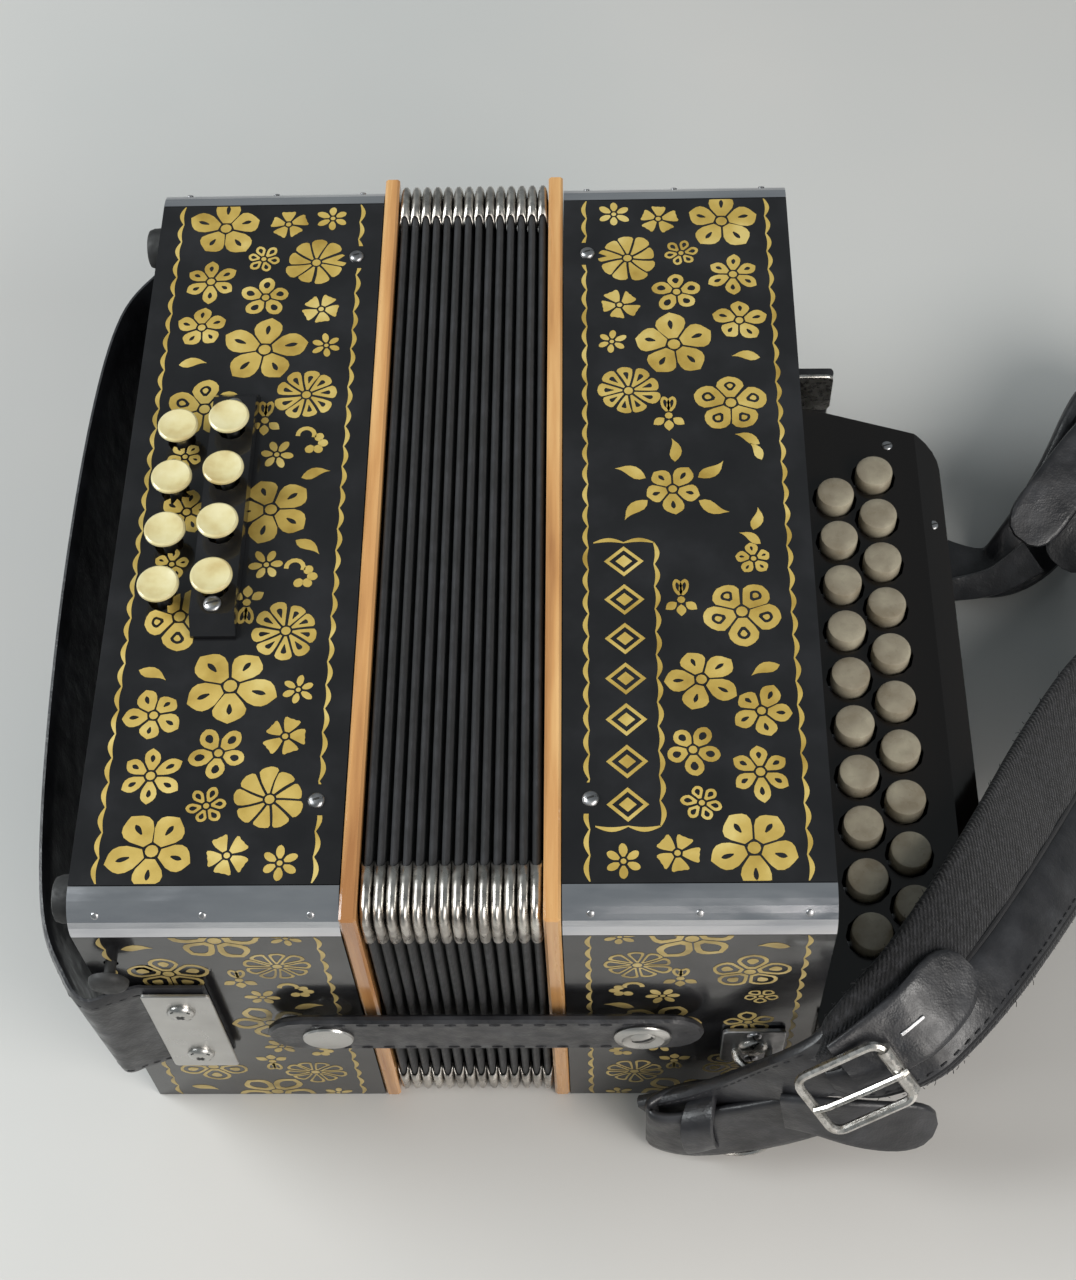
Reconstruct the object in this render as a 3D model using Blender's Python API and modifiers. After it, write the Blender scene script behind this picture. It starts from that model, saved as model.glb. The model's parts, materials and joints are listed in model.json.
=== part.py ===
"""Two-row, eight-bass diatonic button accordion, lying on its back with its front covers up.

Metres, +Z up. The origin is the middle of the treble casing's back, which is the face it lies on.
+X runs from the bellows through the treble casing to the fingerboard, and -Y is the near face.
The bass casing mirrors the treble one beyond the bellows, so both are drawn in one local frame:
local x is 0 at the casing's middle, minus at the bellows and plus at the outer end.
"""
import math

import bpy
import bmesh
from mathutils import Matrix, Vector

# ---- overall sizes
LENGTH = 0.285                # near face to far face
DEPTH = 0.1475                # back to front cover
CASE_WIDTH = 0.0782           # each casing, from its bellows side to its outer end
BELLOWS_LENGTH = 0.0524       # closed
SEAT = 0.0003                 # gap between pieces that touch

# ---- casings, covers and corner trims
WALL = 0.005
COVER_THICKNESS = 0.003
TRIM_RADIUS = 0.011
TRIM_THICKNESS = 0.0012
RIM_DEPTH = 0.0145            # top rim that carries the front cover
RIM_WIDTH = 0.009
PIN_BLOCK_WIDTH = 0.009       # corner blocks for the bellows pins, along X
PIN_BLOCK_LENGTH = 0.042      # the same, along Y from the casing's inner wall

# ---- bellows
FRAME_THICKNESS = 0.005
FRAME_PROUD = 0.0005
FRAME_RAIL = 0.012
FOLDS = 14
FOLD_DEPTH = 0.012
FOLD_INSET = 0.001
BELLOWS_SKIN = 0.001

# ---- soundboards and reeds
BOARD_THICKNESS = 0.004
TREBLE_BOARD_TOP = 0.0523
BASS_BOARD_TOP = DEPTH - 0.0195
REED_BLOCK_HEIGHT = 0.028
REED_PLATE_THICKNESS = 0.0012
REED_SLOT_WIDTH = 0.0035

# ---- fingerboard
PLATE_TOP = 0.070
PLATE_THICKNESS = 0.004
PLATE_BODY = 0.022            # whole thickness, plate and skirts
PLATE_REACH = 0.059
PLATE_RIDGE = 0.050           # where the top starts to slope, from the casing
PLATE_SLOPE_DROP = 0.006
PLATE_FAR = 0.0985            # inner corners, along Y
PLATE_NEAR = -0.1465
PLATE_SHOULDER = 0.012        # how far the ends slope back by the outer corners
PLATE_CORNER = 0.014

# ---- treble keys
TREBLE_PITCH = 0.019
TREBLE_OUTER_FIRST = 0.0655
TREBLE_OUTER_COUNT = 11
TREBLE_INNER_COUNT = 10
TREBLE_INNER_REACH = 0.0190   # button centres, from the casing's end
TREBLE_OUTER_REACH = 0.0337
TREBLE_BUTTON_RADIUS = 0.0067
TREBLE_BUTTON_TOP = 0.075
TREBLE_BUTTON_HEIGHT = 0.0075
TREBLE_HOLE_RADIUS = 0.0081
TREBLE_AXLE_X = 0.029
TREBLE_AXLE_Z = 0.062
TREBLE_PALLET = (-0.018, -0.004)

# ---- bass keys
BASS_PITCH = 0.0204
BASS_FIRST_ROW = 0.0276
BASS_ROWS = 4
BASS_COLUMNS = (0.0221, 0.0048)       # local x of the outer and the inner column
BASS_TOPS = (DEPTH + 0.009, DEPTH + 0.0135)
BASS_CAP_RADIUS = 0.0066
BASS_CAP_HEIGHT = 0.0032
BASS_STEM_RADIUS = 0.0025
BASS_HOLE_RADIUS = 0.0047
BASS_AXLE_X = -0.0191
BASS_AXLE_Z = DEPTH - 0.0095
BASS_PALLET = (-0.0325, -0.0245)
BASS_ARM_OFFSET = 0.0046
RAIL_TOP = DEPTH + 0.0065
RAIL_WIDTH = 0.014
RAIL_LENGTH = 0.094
RAIL_MIDDLE = -0.0015
RAIL_CHAMFER = 0.005

# ---- what every key shares
LEVER_WIDTH = 0.0025
LEVER_HEIGHT = 0.004
BOSS_RADIUS = 0.0032
AXLE_RADIUS = 0.0015
PALLET_WIDTH = 0.0078
PALLET_BLOCK = 0.0035
STEM_RADIUS = 0.0024

# ---- straps, brackets and other fittings
HAND_STRAP_WIDTH = 0.062
HAND_STRAP_MIDDLE = 0.072
HAND_STRAP_THICKNESS = 0.003
HAND_STRAP_BOW = 0.0225
HAND_STRAP_LEAN = 0.006
PLATE_SIZE = (0.021, 0.060)
CLAMP_THICKNESS = 0.0012
CLAMP_X = 0.0151              # local x of the clamp plates' middle
SCREW_RADIUS = 0.0045
SCREW_HEIGHT = 0.002
BELLOWS_STRAP_WIDTH = 0.023
BELLOWS_STRAP_THICKNESS = 0.003
BELLOWS_STRAP_OFF = 0.0035    # its back stands this far off the face
BELLOWS_STRAP_Z = 0.0730
BELLOWS_STRAP_PIVOT = -0.0155  # local x on the treble casing
BELLOWS_STRAP_SPAN = 0.098    # pivot to snap
BELLOWS_STRAP_END = 0.019     # leather beyond the pivot and the snap
WASHER_RADIUS = 0.009
SNAP_RADIUS = 0.008
AIR_X = 0.0315
AIR_Z = DEPTH - 0.030
AIR_KNOB_RADIUS = 0.006
AIR_TRAVEL = 0.0045
AIR_STEM_RADIUS = 0.0017
AIR_VALVE = (0.018, 0.018, 0.0025)  # along X, along Z and thickness
AIR_VALVE_DROP = 0.0045       # the valve's middle below the stem
AIR_VENT_RADIUS = 0.003
FOOT_RADIUS = 0.0075
FOOT_HEIGHT = 0.0075
FOOT_INSET = 0.015
FOOT_Z = DEPTH - 0.0175
BRACKET_THICKNESS = 0.0015
BUCKLE_STATION = 4            # which station of the shoulder strap the buckle lies on
BUCKLE_DROP = 0.004           # how far below the strap's middle line it hangs

HALF_LENGTH = LENGTH / 2
HALF_WIDTH = CASE_WIDTH / 2
BELLOWS_X = -(HALF_WIDTH + FRAME_THICKNESS + 2 * SEAT + BELLOWS_LENGTH / 2)
CASE_X = {"treble": 0.0, "bass": 2 * BELLOWS_X}
OUTWARD = {"treble": 1, "bass": -1}
BOARD_TOP = {"treble": TREBLE_BOARD_TOP, "bass": BASS_BOARD_TOP}
COVER_BOTTOM = DEPTH - COVER_THICKNESS
TRIM_CENTRE_Y = HALF_LENGTH - TRIM_RADIUS
TRIM_CENTRE_Z = DEPTH - TRIM_RADIUS
INNER_Y = HALF_LENGTH - WALL
INNER_X = HALF_WIDTH - WALL

PARTS = bpy.data.collections.new("button_accordion")
CUTTERS = bpy.data.collections.new("cutters")

COLOURS = {
    "black_celluloid": ((0.012, 0.012, 0.013), 0.22, 0.0),
    "fingerboard_lacquer": ((0.016, 0.011, 0.010), 0.18, 0.0),
    "chrome": ((0.80, 0.80, 0.82), 0.16, 1.0),
    "nickel": ((0.66, 0.65, 0.62), 0.28, 1.0),
    "frame_wood": ((0.52, 0.24, 0.09), 0.45, 0.0),
    "spruce": ((0.60, 0.43, 0.24), 0.60, 0.0),
    "bellows_cloth": ((0.018, 0.019, 0.023), 0.80, 0.0),
    "strap_leather": ((0.030, 0.031, 0.035), 0.55, 0.0),
    "treble_button": ((0.55, 0.52, 0.42), 0.35, 0.0),
    "bass_button": ((0.80, 0.72, 0.48), 0.28, 0.0),
    "rubber": ((0.020, 0.020, 0.020), 0.75, 0.0),
    "steel": ((0.45, 0.45, 0.46), 0.35, 1.0),
}


# ---- scene, materials and collections

def clear_scene():
    """Start from nothing, and link the two collections."""
    for old in list(bpy.data.objects):
        bpy.data.objects.remove(old, do_unlink=True)
    for collection in (PARTS, CUTTERS):
        bpy.context.scene.collection.children.link(collection)


def material(part_name, finish):
    """A Principled material of the part's own, in one of the named finishes."""
    colour, roughness, metallic = COLOURS[finish]
    result = bpy.data.materials.new(part_name + "_finish")
    result.use_nodes = True
    shader = result.node_tree.nodes["Principled BSDF"]
    shader.inputs["Base Color"].default_value = (*colour, 1.0)
    shader.inputs["Roughness"].default_value = roughness
    shader.inputs["Metallic"].default_value = metallic
    result.diffuse_color = (*colour, 1.0)
    return result


def finish_part(obj, name, finish, smooth=False):
    """Name a finished piece, give it its material and put it among the parts."""
    obj.name = name
    obj.data.name = name
    obj.data.materials.append(material(name, finish))
    if smooth:
        obj.data.shade_smooth()
        obj.data.set_sharp_from_angle(angle=math.radians(35))
    PARTS.objects.link(obj)
    return obj


def guide(obj):
    """Put an operand of a Boolean among the cutters, out of sight."""
    obj.hide_render = True
    obj.display_type = "WIRE"
    CUTTERS.objects.link(obj)
    return obj


# ---- shapes

def local(side, x, y=0.0, z=0.0):
    """A point given in a casing's local frame, in the part's frame."""
    return Vector((CASE_X[side] + OUTWARD[side] * x, y, z))


def object_from(shape, name, origin):
    """An object with its origin at a point, from a bmesh drawn in the part's frame."""
    bmesh.ops.translate(shape, vec=-Vector(origin), verts=shape.verts)
    mesh = bpy.data.meshes.new(name)
    shape.to_mesh(mesh)
    shape.free()
    obj = bpy.data.objects.new(name, mesh)
    obj.location = origin
    return obj


def block(name, corner_a, corner_b, origin=None):
    """A box between two opposite corners."""
    low = Vector(min(a, b) for a, b in zip(corner_a, corner_b))
    high = Vector(max(a, b) for a, b in zip(corner_a, corner_b))
    shape = bmesh.new()
    bmesh.ops.create_cube(shape, size=1.0)
    bmesh.ops.scale(shape, vec=high - low, verts=shape.verts)
    bmesh.ops.translate(shape, vec=(low + high) / 2, verts=shape.verts)
    return object_from(shape, name, origin if origin is not None else (low + high) / 2)


def rod(name, start, end, radius, sides, origin=None, end_radius=None):
    """A cylinder, or a cone frustum, from one point to another."""
    start, end = Vector(start), Vector(end)
    axis = end - start
    shape = bmesh.new()
    bmesh.ops.create_cone(shape, cap_ends=True, segments=sides, radius1=radius,
                          radius2=radius if end_radius is None else end_radius, depth=axis.length)
    turn = axis.to_track_quat("Z", "Y").to_matrix().to_4x4()
    bmesh.ops.transform(shape, matrix=Matrix.Translation((start + end) / 2) @ turn, verts=shape.verts)
    return object_from(shape, name, origin if origin is not None else (start + end) / 2)


PLANES = {
    "X": Matrix(((0, 0, 1, 0), (1, 0, 0, 0), (0, 1, 0, 0), (0, 0, 0, 1))),
    "Y": Matrix(((0, 1, 0, 0), (0, 0, 1, 0), (1, 0, 0, 0), (0, 0, 0, 1))),
    "Z": Matrix.Identity(4),
}


def prism(name, points, start, end, axis, origin=None):
    """A flat outline pushed along an axis: (y, z) for X, (z, x) for Y and (x, y) for Z."""
    low, high = min(start, end), max(start, end)
    curve = bpy.data.curves.new(name, "CURVE")
    curve.dimensions = "2D"
    curve.fill_mode = "BOTH"
    curve.extrude = (high - low) / 2
    curve.render_resolution_u = 0
    spline = curve.splines.new("POLY")
    spline.points.add(len(points) - 1)
    for point, (u, v) in zip(spline.points, points):
        point.co = (u, v, 0.0, 1.0)
    spline.use_cyclic_u = True
    drawn = bpy.data.objects.new(name, curve)
    drawn.matrix_world = PLANES[axis] @ Matrix.Translation((0, 0, (low + high) / 2))
    bpy.context.scene.collection.objects.link(drawn)
    bpy.context.view_layer.update()
    evaluated = drawn.evaluated_get(bpy.context.evaluated_depsgraph_get())
    mesh = bpy.data.meshes.new_from_object(evaluated)
    shape = bmesh.new()
    shape.from_mesh(mesh)
    bmesh.ops.remove_doubles(shape, verts=shape.verts, dist=0.00001)
    bmesh.ops.transform(shape, matrix=drawn.matrix_world, verts=shape.verts)
    bmesh.ops.recalc_face_normals(shape, faces=shape.faces)
    bpy.data.objects.remove(drawn)
    bpy.data.curves.remove(curve)
    bpy.data.meshes.remove(mesh)
    return object_from(shape, name, origin if origin is not None else (0, 0, 0))


def arc(centre, radius, start_degrees, end_degrees, steps):
    """Points along an arc, both ends included."""
    turn = [math.radians(start_degrees + (end_degrees - start_degrees) * i / steps) for i in range(steps + 1)]
    return [(centre[0] + radius * math.cos(a), centre[1] + radius * math.sin(a)) for a in turn]


def combine(obj, other, operation, crossing=False):
    """Join another shape to this one, or cut it away; crossing lets its own pieces overlap."""
    guide(other)
    modifier = obj.modifiers.new(other.name, "BOOLEAN")
    modifier.object = other
    modifier.operation = operation
    modifier.solver = "EXACT"
    modifier.use_self = crossing


def cut(obj, other, crossing=False):
    combine(obj, other, "DIFFERENCE", crossing)


def unite(obj, other):
    combine(obj, other, "UNION")


def joined(name, pieces):
    """One cutter from several separate shapes."""
    shape = bmesh.new()
    for piece in pieces:
        part = piece.data.copy()
        part.transform(Matrix.Translation(piece.location))
        shape.from_mesh(part)
        bpy.data.meshes.remove(part)
        bpy.data.objects.remove(piece)
    return object_from(shape, name, (0, 0, 0))


def round_edges(obj, width, segments=1):
    """Round an object's sharp edges."""
    modifier = obj.modifiers.new("rounded", "BEVEL")
    modifier.width = width
    modifier.segments = segments
    modifier.limit_method = "ANGLE"


def smooth_path(stations, steps):
    """Catmull-Rom stations through the given ones; every station is a tuple of vectors or numbers."""
    result = []
    last = len(stations) - 1
    for i in range(last):
        around = [stations[max(i - 1, 0)], stations[i], stations[i + 1], stations[min(i + 2, last)]]
        for step in range(steps):
            t = step / steps
            weights = (-0.5 * t + t * t - 0.5 * t ** 3, 1 - 2.5 * t * t + 1.5 * t ** 3,
                       0.5 * t + 2 * t * t - 1.5 * t ** 3, -0.5 * t * t + 0.5 * t ** 3)
            mixed = []
            for values in zip(*around):
                total = values[0] * weights[0]
                for value, weight in zip(values[1:], weights[1:]):
                    total = total + value * weight
                mixed.append(total)
            result.append(tuple(mixed))
    result.append(stations[last])
    return result


def band(name, stations, origin):
    """A flat band lofted through stations of (middle, across direction, half width, thickness)."""
    shape = bmesh.new()
    rings = []
    for i, (middle, across, half_width, thickness) in enumerate(stations):
        ahead = stations[min(i + 1, len(stations) - 1)][0]
        behind = stations[max(i - 1, 0)][0]
        along = (ahead - behind).normalized()
        side = (across - along * across.dot(along)).normalized()
        face = along.cross(side)
        corners = ((1, 1), (-1, 1), (-1, -1), (1, -1))
        rings.append([shape.verts.new(middle + side * (half_width * s) + face * (thickness / 2 * f))
                      for s, f in corners])
    for ring, following in zip(rings, rings[1:]):
        for i in range(4):
            j = (i + 1) % 4
            shape.faces.new((ring[i], ring[j], following[j], following[i]))
    shape.faces.new(rings[0])
    shape.faces.new(list(reversed(rings[-1])))
    bmesh.ops.recalc_face_normals(shape, faces=shape.faces)
    return object_from(shape, name, origin)


# ---- casings

def case_outline():
    """A casing's section across X: walls with a rounded top corner inside each trim."""
    inside = TRIM_RADIUS - TRIM_THICKNESS - SEAT
    top = COVER_BOTTOM - SEAT
    rise = math.degrees(math.asin(min(1.0, (top - TRIM_CENTRE_Z) / inside)))
    far_corner = arc((TRIM_CENTRE_Y, TRIM_CENTRE_Z - SEAT), inside, 0, rise, 4)
    half = [(HALF_LENGTH, 0.0), (HALF_LENGTH, TRIM_CENTRE_Z - SEAT)] + far_corner
    mirrored = [(-y, z) for y, z in reversed(half)]
    return half + mirrored


def build_case(side):
    """A casing: walls, back, a partition above the soundboard, and a rim under the cover."""
    name = side + "_case"
    board = BOARD_TOP[side]
    rim = COVER_BOTTOM - SEAT - RIM_DEPTH
    case = prism(name, case_outline(), local(side, -HALF_WIDTH).x, local(side, HALF_WIDTH).x, "X")
    beyond = 0.01
    reed_chamber = block(name + "_reed_chamber", local(side, -HALF_WIDTH - beyond, -INNER_Y, WALL),
                         local(side, INNER_X, INNER_Y, board + SEAT))
    action_chamber = block(name + "_action_chamber", local(side, -INNER_X, -INNER_Y, board),
                           local(side, INNER_X, INNER_Y, max(rim, board + 2 * SEAT)))
    rim_y = HALF_LENGTH - WALL - RIM_WIDTH
    top_hole = block(name + "_top_hole", local(side, PIN_BLOCK_WIDTH - INNER_X, -rim_y, board + SEAT),
                     local(side, INNER_X, rim_y, DEPTH))
    pin_y = INNER_Y - PIN_BLOCK_LENGTH
    pin_hole = block(name + "_pin_hole", local(side, -INNER_X, -pin_y, board + SEAT),
                     local(side, PIN_BLOCK_WIDTH - INNER_X + SEAT, pin_y, DEPTH))
    for cutter in (reed_chamber, action_chamber, top_hole, pin_hole):
        cut(case, cutter)
    return case


def build_treble_case():
    """The treble casing, with the slot its key levers pass through."""
    case = build_case("treble")
    slot_height = 0.0065
    cut(case, block("lever_slot", local("treble", INNER_X - 0.001, hollow_near(), TREBLE_AXLE_Z - slot_height),
                    local("treble", HALF_WIDTH + 0.001, hollow_far(), TREBLE_AXLE_Z + slot_height)))
    finish_part(case, "treble_case", "black_celluloid")


def build_bass_case():
    """The bass casing, with the air button's hole and vent in its near wall."""
    case = build_case("bass")
    outside, inside = -HALF_LENGTH - 0.001, -INNER_Y + 0.001
    vent_x, vent_z = AIR_X - AIR_VALVE[0] / 2, AIR_Z - AIR_VALVE_DROP
    holes = joined("air_holes", [
        rod("air_stem_hole", local("bass", AIR_X, outside, AIR_Z), local("bass", AIR_X, inside, AIR_Z),
            AIR_STEM_RADIUS + 2 * SEAT, 12),
        rod("air_vent", local("bass", vent_x, outside, vent_z), local("bass", vent_x, inside, vent_z),
            AIR_VENT_RADIUS, 12)])
    cut(case, holes)
    finish_part(case, "bass_case", "black_celluloid")


def build_trims(side):
    """The quarter-round metal trims along a casing's near and far front edges."""
    for end, sign in (("near", -1), ("far", 1)):
        outer = arc((TRIM_CENTRE_Y, TRIM_CENTRE_Z), TRIM_RADIUS, 0, 90, 8)
        inner = arc((TRIM_CENTRE_Y, TRIM_CENTRE_Z), TRIM_RADIUS - TRIM_THICKNESS, 90, 0, 8)
        points = [(sign * y, z) for y, z in outer + inner]
        trim = prism("trim", points, local(side, -HALF_WIDTH).x, local(side, HALF_WIDTH).x, "X")
        finish_part(trim, f"{side}_trim_{end}", "chrome", smooth=True)


def build_cover(side):
    """A casing's front cover, let in between the two trims."""
    reach = TRIM_CENTRE_Y - SEAT
    cover = block("cover", local(side, -HALF_WIDTH, -reach, COVER_BOTTOM),
                  local(side, HALF_WIDTH, reach, DEPTH))
    return cover


def build_covers():
    """Both covers; the bass one has a hole for each button's stem."""
    finish_part(build_cover("treble"), "treble_front_cover", "black_celluloid")
    cover = build_cover("bass")
    stems = [rod("stem_hole", local("bass", x, y, COVER_BOTTOM - 0.001), local("bass", x, y, DEPTH + 0.001),
                 BASS_HOLE_RADIUS, 10) for x in BASS_COLUMNS for y in bass_rows()]
    cut(cover, joined("bass_stem_holes", stems))
    finish_part(cover, "bass_front_cover", "black_celluloid")


# ---- bellows

def build_bellows_frames():
    """The two wooden frames that the bellows are glued to and the casings are pinned to."""
    outer_y = HALF_LENGTH + FRAME_PROUD
    inner_y = HALF_LENGTH - FRAME_RAIL
    for side in ("treble", "bass"):
        inside, outside = -HALF_WIDTH - SEAT - FRAME_THICKNESS, -HALF_WIDTH - SEAT
        frame = block("frame", local(side, inside, -outer_y, 0.0), local(side, outside, outer_y, DEPTH + FRAME_PROUD))
        round_edges(frame, 0.0008)
        opening = block(side + "_frame_opening", local(side, inside - 0.001, -inner_y, FRAME_RAIL),
                        local(side, outside + 0.001, inner_y, DEPTH - FRAME_RAIL))
        cut(frame, opening)
        finish_part(frame, side + "_bellows_frame", "frame_wood")


def build_bellows():
    """The folded bellows tube: crests flush with the frames, valleys let in."""
    shape = bmesh.new()
    rings = []
    start = BELLOWS_X - BELLOWS_LENGTH / 2
    for i in range(2 * FOLDS + 1):
        inset = FOLD_INSET + (0.0 if i % 2 else FOLD_DEPTH)
        x = start + BELLOWS_LENGTH * i / (2 * FOLDS)
        y = HALF_LENGTH - inset
        corners = ((-y, inset), (y, inset), (y, DEPTH - inset), (-y, DEPTH - inset))
        rings.append([shape.verts.new((x, cy, cz)) for cy, cz in corners])
    for ring, following in zip(rings, rings[1:]):
        for i in range(4):
            j = (i + 1) % 4
            shape.faces.new((ring[i], following[i], following[j], ring[j]))
    bmesh.ops.recalc_face_normals(shape, faces=shape.faces)
    bellows = object_from(shape, "bellows", (BELLOWS_X, 0, DEPTH / 2))
    skin = bellows.modifiers.new("skin", "SOLIDIFY")
    skin.thickness = BELLOWS_SKIN
    skin.offset = -1.0
    finish_part(bellows, "bellows", "bellows_cloth")


# ---- soundboards, reeds and axles

def treble_rows():
    """The (row, y) of every treble key, far end first."""
    outer = [("outer", TREBLE_OUTER_FIRST - TREBLE_PITCH * i) for i in range(TREBLE_OUTER_COUNT)]
    inner = [("inner", TREBLE_OUTER_FIRST - TREBLE_PITCH * (i + 0.5)) for i in range(TREBLE_INNER_COUNT)]
    return sorted(outer + inner, key=lambda row: -row[1])


def bass_rows():
    """The y of every bass row, far end first."""
    return [BASS_FIRST_ROW - BASS_PITCH * i for i in range(BASS_ROWS)]


def bass_arms():
    """The (column, row y, lever y) of every bass key."""
    return [(column, y, y + (BASS_ARM_OFFSET if column else -BASS_ARM_OFFSET))
            for y in bass_rows() for column in (0, 1)]


def pallet_places(side):
    """The y of each of a side's pallets, and their local x range."""
    if side == "treble":
        return [y for _, y in treble_rows()], TREBLE_PALLET
    return [arm for _, _, arm in bass_arms()], BASS_PALLET


def build_soundboard(side):
    """The soundboard that the pallets close, with one air hole under each."""
    name = side + "_soundboard"
    top = BOARD_TOP[side]
    board = block(name, local(side, -HALF_WIDTH, SEAT - INNER_Y, top - BOARD_THICKNESS),
                  local(side, INNER_X - SEAT, INNER_Y - SEAT, top))
    rows, (start, end) = pallet_places(side)
    lap, half_hole = 0.0015, PALLET_WIDTH / 2 - 0.0015
    holes = [block("air_hole", local(side, start + lap, y - half_hole, top - BOARD_THICKNESS - 0.001),
                   local(side, end - lap, y + half_hole, top + 0.001)) for y in rows]
    cut(board, joined(name + "_air_holes", holes))
    finish_part(board, name, "spruce")


def build_reed_block(side):
    """The reed block under a soundboard: a chamber for each key, and a slotted reed plate in front."""
    name = side + "_reed_block"
    top = BOARD_TOP[side] - BOARD_THICKNESS - SEAT
    bottom = top - REED_BLOCK_HEIGHT
    rows, (start, end) = pallet_places(side)
    margin, front, back = 0.008, start - 0.002, end + 0.003
    body = block(name, local(side, front, min(rows) - margin, bottom), local(side, back, max(rows) + margin, top))
    half = PALLET_WIDTH / 2 - 0.0007
    floor = 0.003
    cells = [block("cell", local(side, front + REED_PLATE_THICKNESS, y - half, bottom + floor),
                   local(side, end, y + half, top + 0.001)) for y in rows]
    cut(body, joined(name + "_cells", cells))
    slots = [block("slot", local(side, front - 0.001, y - REED_SLOT_WIDTH / 2, bottom + 2 * floor),
                   local(side, front + REED_PLATE_THICKNESS + 0.001, y + REED_SLOT_WIDTH / 2, top - floor))
             for y in rows]
    cut(body, joined(name + "_slots", slots))
    finish_part(body, name, "spruce")


def build_axles():
    """The long wires that the keys turn on, from the near wall to the far wall."""
    reach = INNER_Y - SEAT
    for side, x, z in (("treble", TREBLE_AXLE_X, TREBLE_AXLE_Z), ("bass", BASS_AXLE_X, BASS_AXLE_Z)):
        end_y = reach if side == "treble" else HALF_LENGTH - WALL - RIM_WIDTH - SEAT
        axle = rod("axle", local(side, x, -end_y, z), local(side, x, end_y, z), AXLE_RADIUS, 10)
        finish_part(axle, side + "_key_axle", "steel", smooth=True)


# ---- keys

def build_key(name, side, button, stem, pallet_x, axle, arm_y, finish):
    """One key: button, stem, lever with its boss, and pallet. The origin is on the axle.

    button is (x, y, top z, height, radius), stem is a radius and axle is (x, z).
    """
    button_x, button_y, top, height, radius = button
    axle_x, axle_z = axle
    pivot = local(side, axle_x, arm_y, axle_z)
    lever_low, lever_high = axle_z - LEVER_HEIGHT / 2, axle_z + LEVER_HEIGHT / 2
    key = block(name, local(side, pallet_x[0] + 0.001, arm_y - LEVER_WIDTH / 2, lever_low),
                local(side, button_x + stem, arm_y + LEVER_WIDTH / 2, lever_high), pivot)
    inner_face = arm_y + math.copysign(LEVER_WIDTH / 2, button_y - arm_y) if button_y != arm_y else None
    if inner_face is not None:
        overlap = math.copysign(0.0005, arm_y - button_y)
        unite(key, block(name + "_foot", local(side, button_x - stem * 0.95, inner_face + overlap, lever_low),
                         local(side, button_x + stem * 0.95, button_y - overlap * 4.4, lever_high - 0.0002), pivot))
    boss = LEVER_WIDTH / 2 + 0.0006
    unite(key, rod(name + "_boss", local(side, axle_x, arm_y - boss, axle_z),
                   local(side, axle_x, arm_y + boss, axle_z), BOSS_RADIUS, 8, pivot))
    unite(key, rod(name + "_stem", local(side, button_x, button_y, lever_high - 0.001),
                   local(side, button_x, button_y, top - height / 2), stem, 6, pivot))
    unite(key, rod(name + "_button", local(side, button_x, button_y, top - height),
                   local(side, button_x, button_y, top), radius, 14, pivot))
    pallet_low = BOARD_TOP[side] + SEAT
    unite(key, block(name + "_post", local(side, pallet_x[0] + 0.002, arm_y - LEVER_WIDTH, pallet_low + 0.001),
                     local(side, pallet_x[1] - 0.002, arm_y + LEVER_WIDTH, lever_high - 0.0004), pivot))
    unite(key, block(name + "_pallet", local(side, pallet_x[0], arm_y - PALLET_WIDTH / 2, pallet_low),
                     local(side, pallet_x[1], arm_y + PALLET_WIDTH / 2, pallet_low + PALLET_BLOCK), pivot))
    bore = 2 * boss
    cut(key, rod(name + "_bore", local(side, axle_x, arm_y - bore, axle_z),
                 local(side, axle_x, arm_y + bore, axle_z), AXLE_RADIUS + SEAT, 8, pivot))
    finish_part(key, name, finish)


def build_treble_keys():
    """Twenty-one keys in two staggered rows, far end first."""
    reach = {"outer": TREBLE_OUTER_REACH, "inner": TREBLE_INNER_REACH}
    for number, (row, y) in enumerate(treble_rows(), start=1):
        button = (HALF_WIDTH + reach[row], y, TREBLE_BUTTON_TOP, TREBLE_BUTTON_HEIGHT, TREBLE_BUTTON_RADIUS)
        build_key(f"treble_key_{number:02d}", "treble", button, STEM_RADIUS, TREBLE_PALLET,
                  (TREBLE_AXLE_X, TREBLE_AXLE_Z), y, "treble_button")


def build_bass_keys():
    """Eight keys in four rows; the two in a row have their levers side by side."""
    for number, (column, y, arm_y) in enumerate(bass_arms(), start=1):
        button = (BASS_COLUMNS[column], y, BASS_TOPS[column], BASS_CAP_HEIGHT, BASS_CAP_RADIUS)
        build_key(f"bass_key_{number}", "bass", button, BASS_STEM_RADIUS, BASS_PALLET,
                  (BASS_AXLE_X, BASS_AXLE_Z), arm_y, "bass_button")


def build_button_rail():
    """The raised rail that the inner bass column stands in, bevelled at both ends."""
    half = RAIL_LENGTH / 2
    low = DEPTH + SEAT
    near, far = RAIL_MIDDLE - half, RAIL_MIDDLE + half
    points = [(near, low), (far, low), (far, low + 0.001), (far - RAIL_CHAMFER, RAIL_TOP),
              (near + RAIL_CHAMFER, RAIL_TOP), (near, low + 0.001)]
    column = BASS_COLUMNS[1]
    rail = prism("rail", points, local("bass", column - RAIL_WIDTH / 2).x,
                 local("bass", column + RAIL_WIDTH / 2).x, "X")
    stems = [rod("rail_hole", local("bass", column, y, low - 0.001), local("bass", column, y, RAIL_TOP + 0.001),
                 BASS_HOLE_RADIUS, 10) for y in bass_rows()]
    cut(rail, joined("rail_holes", stems))
    finish_part(rail, "bass_button_rail", "black_celluloid")


# ---- fingerboard

def hollow_near():
    return min(y for _, y in treble_rows()) - PALLET_WIDTH + 0.0005


def hollow_far():
    return max(y for _, y in treble_rows()) + PALLET_WIDTH - 0.0005


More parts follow.
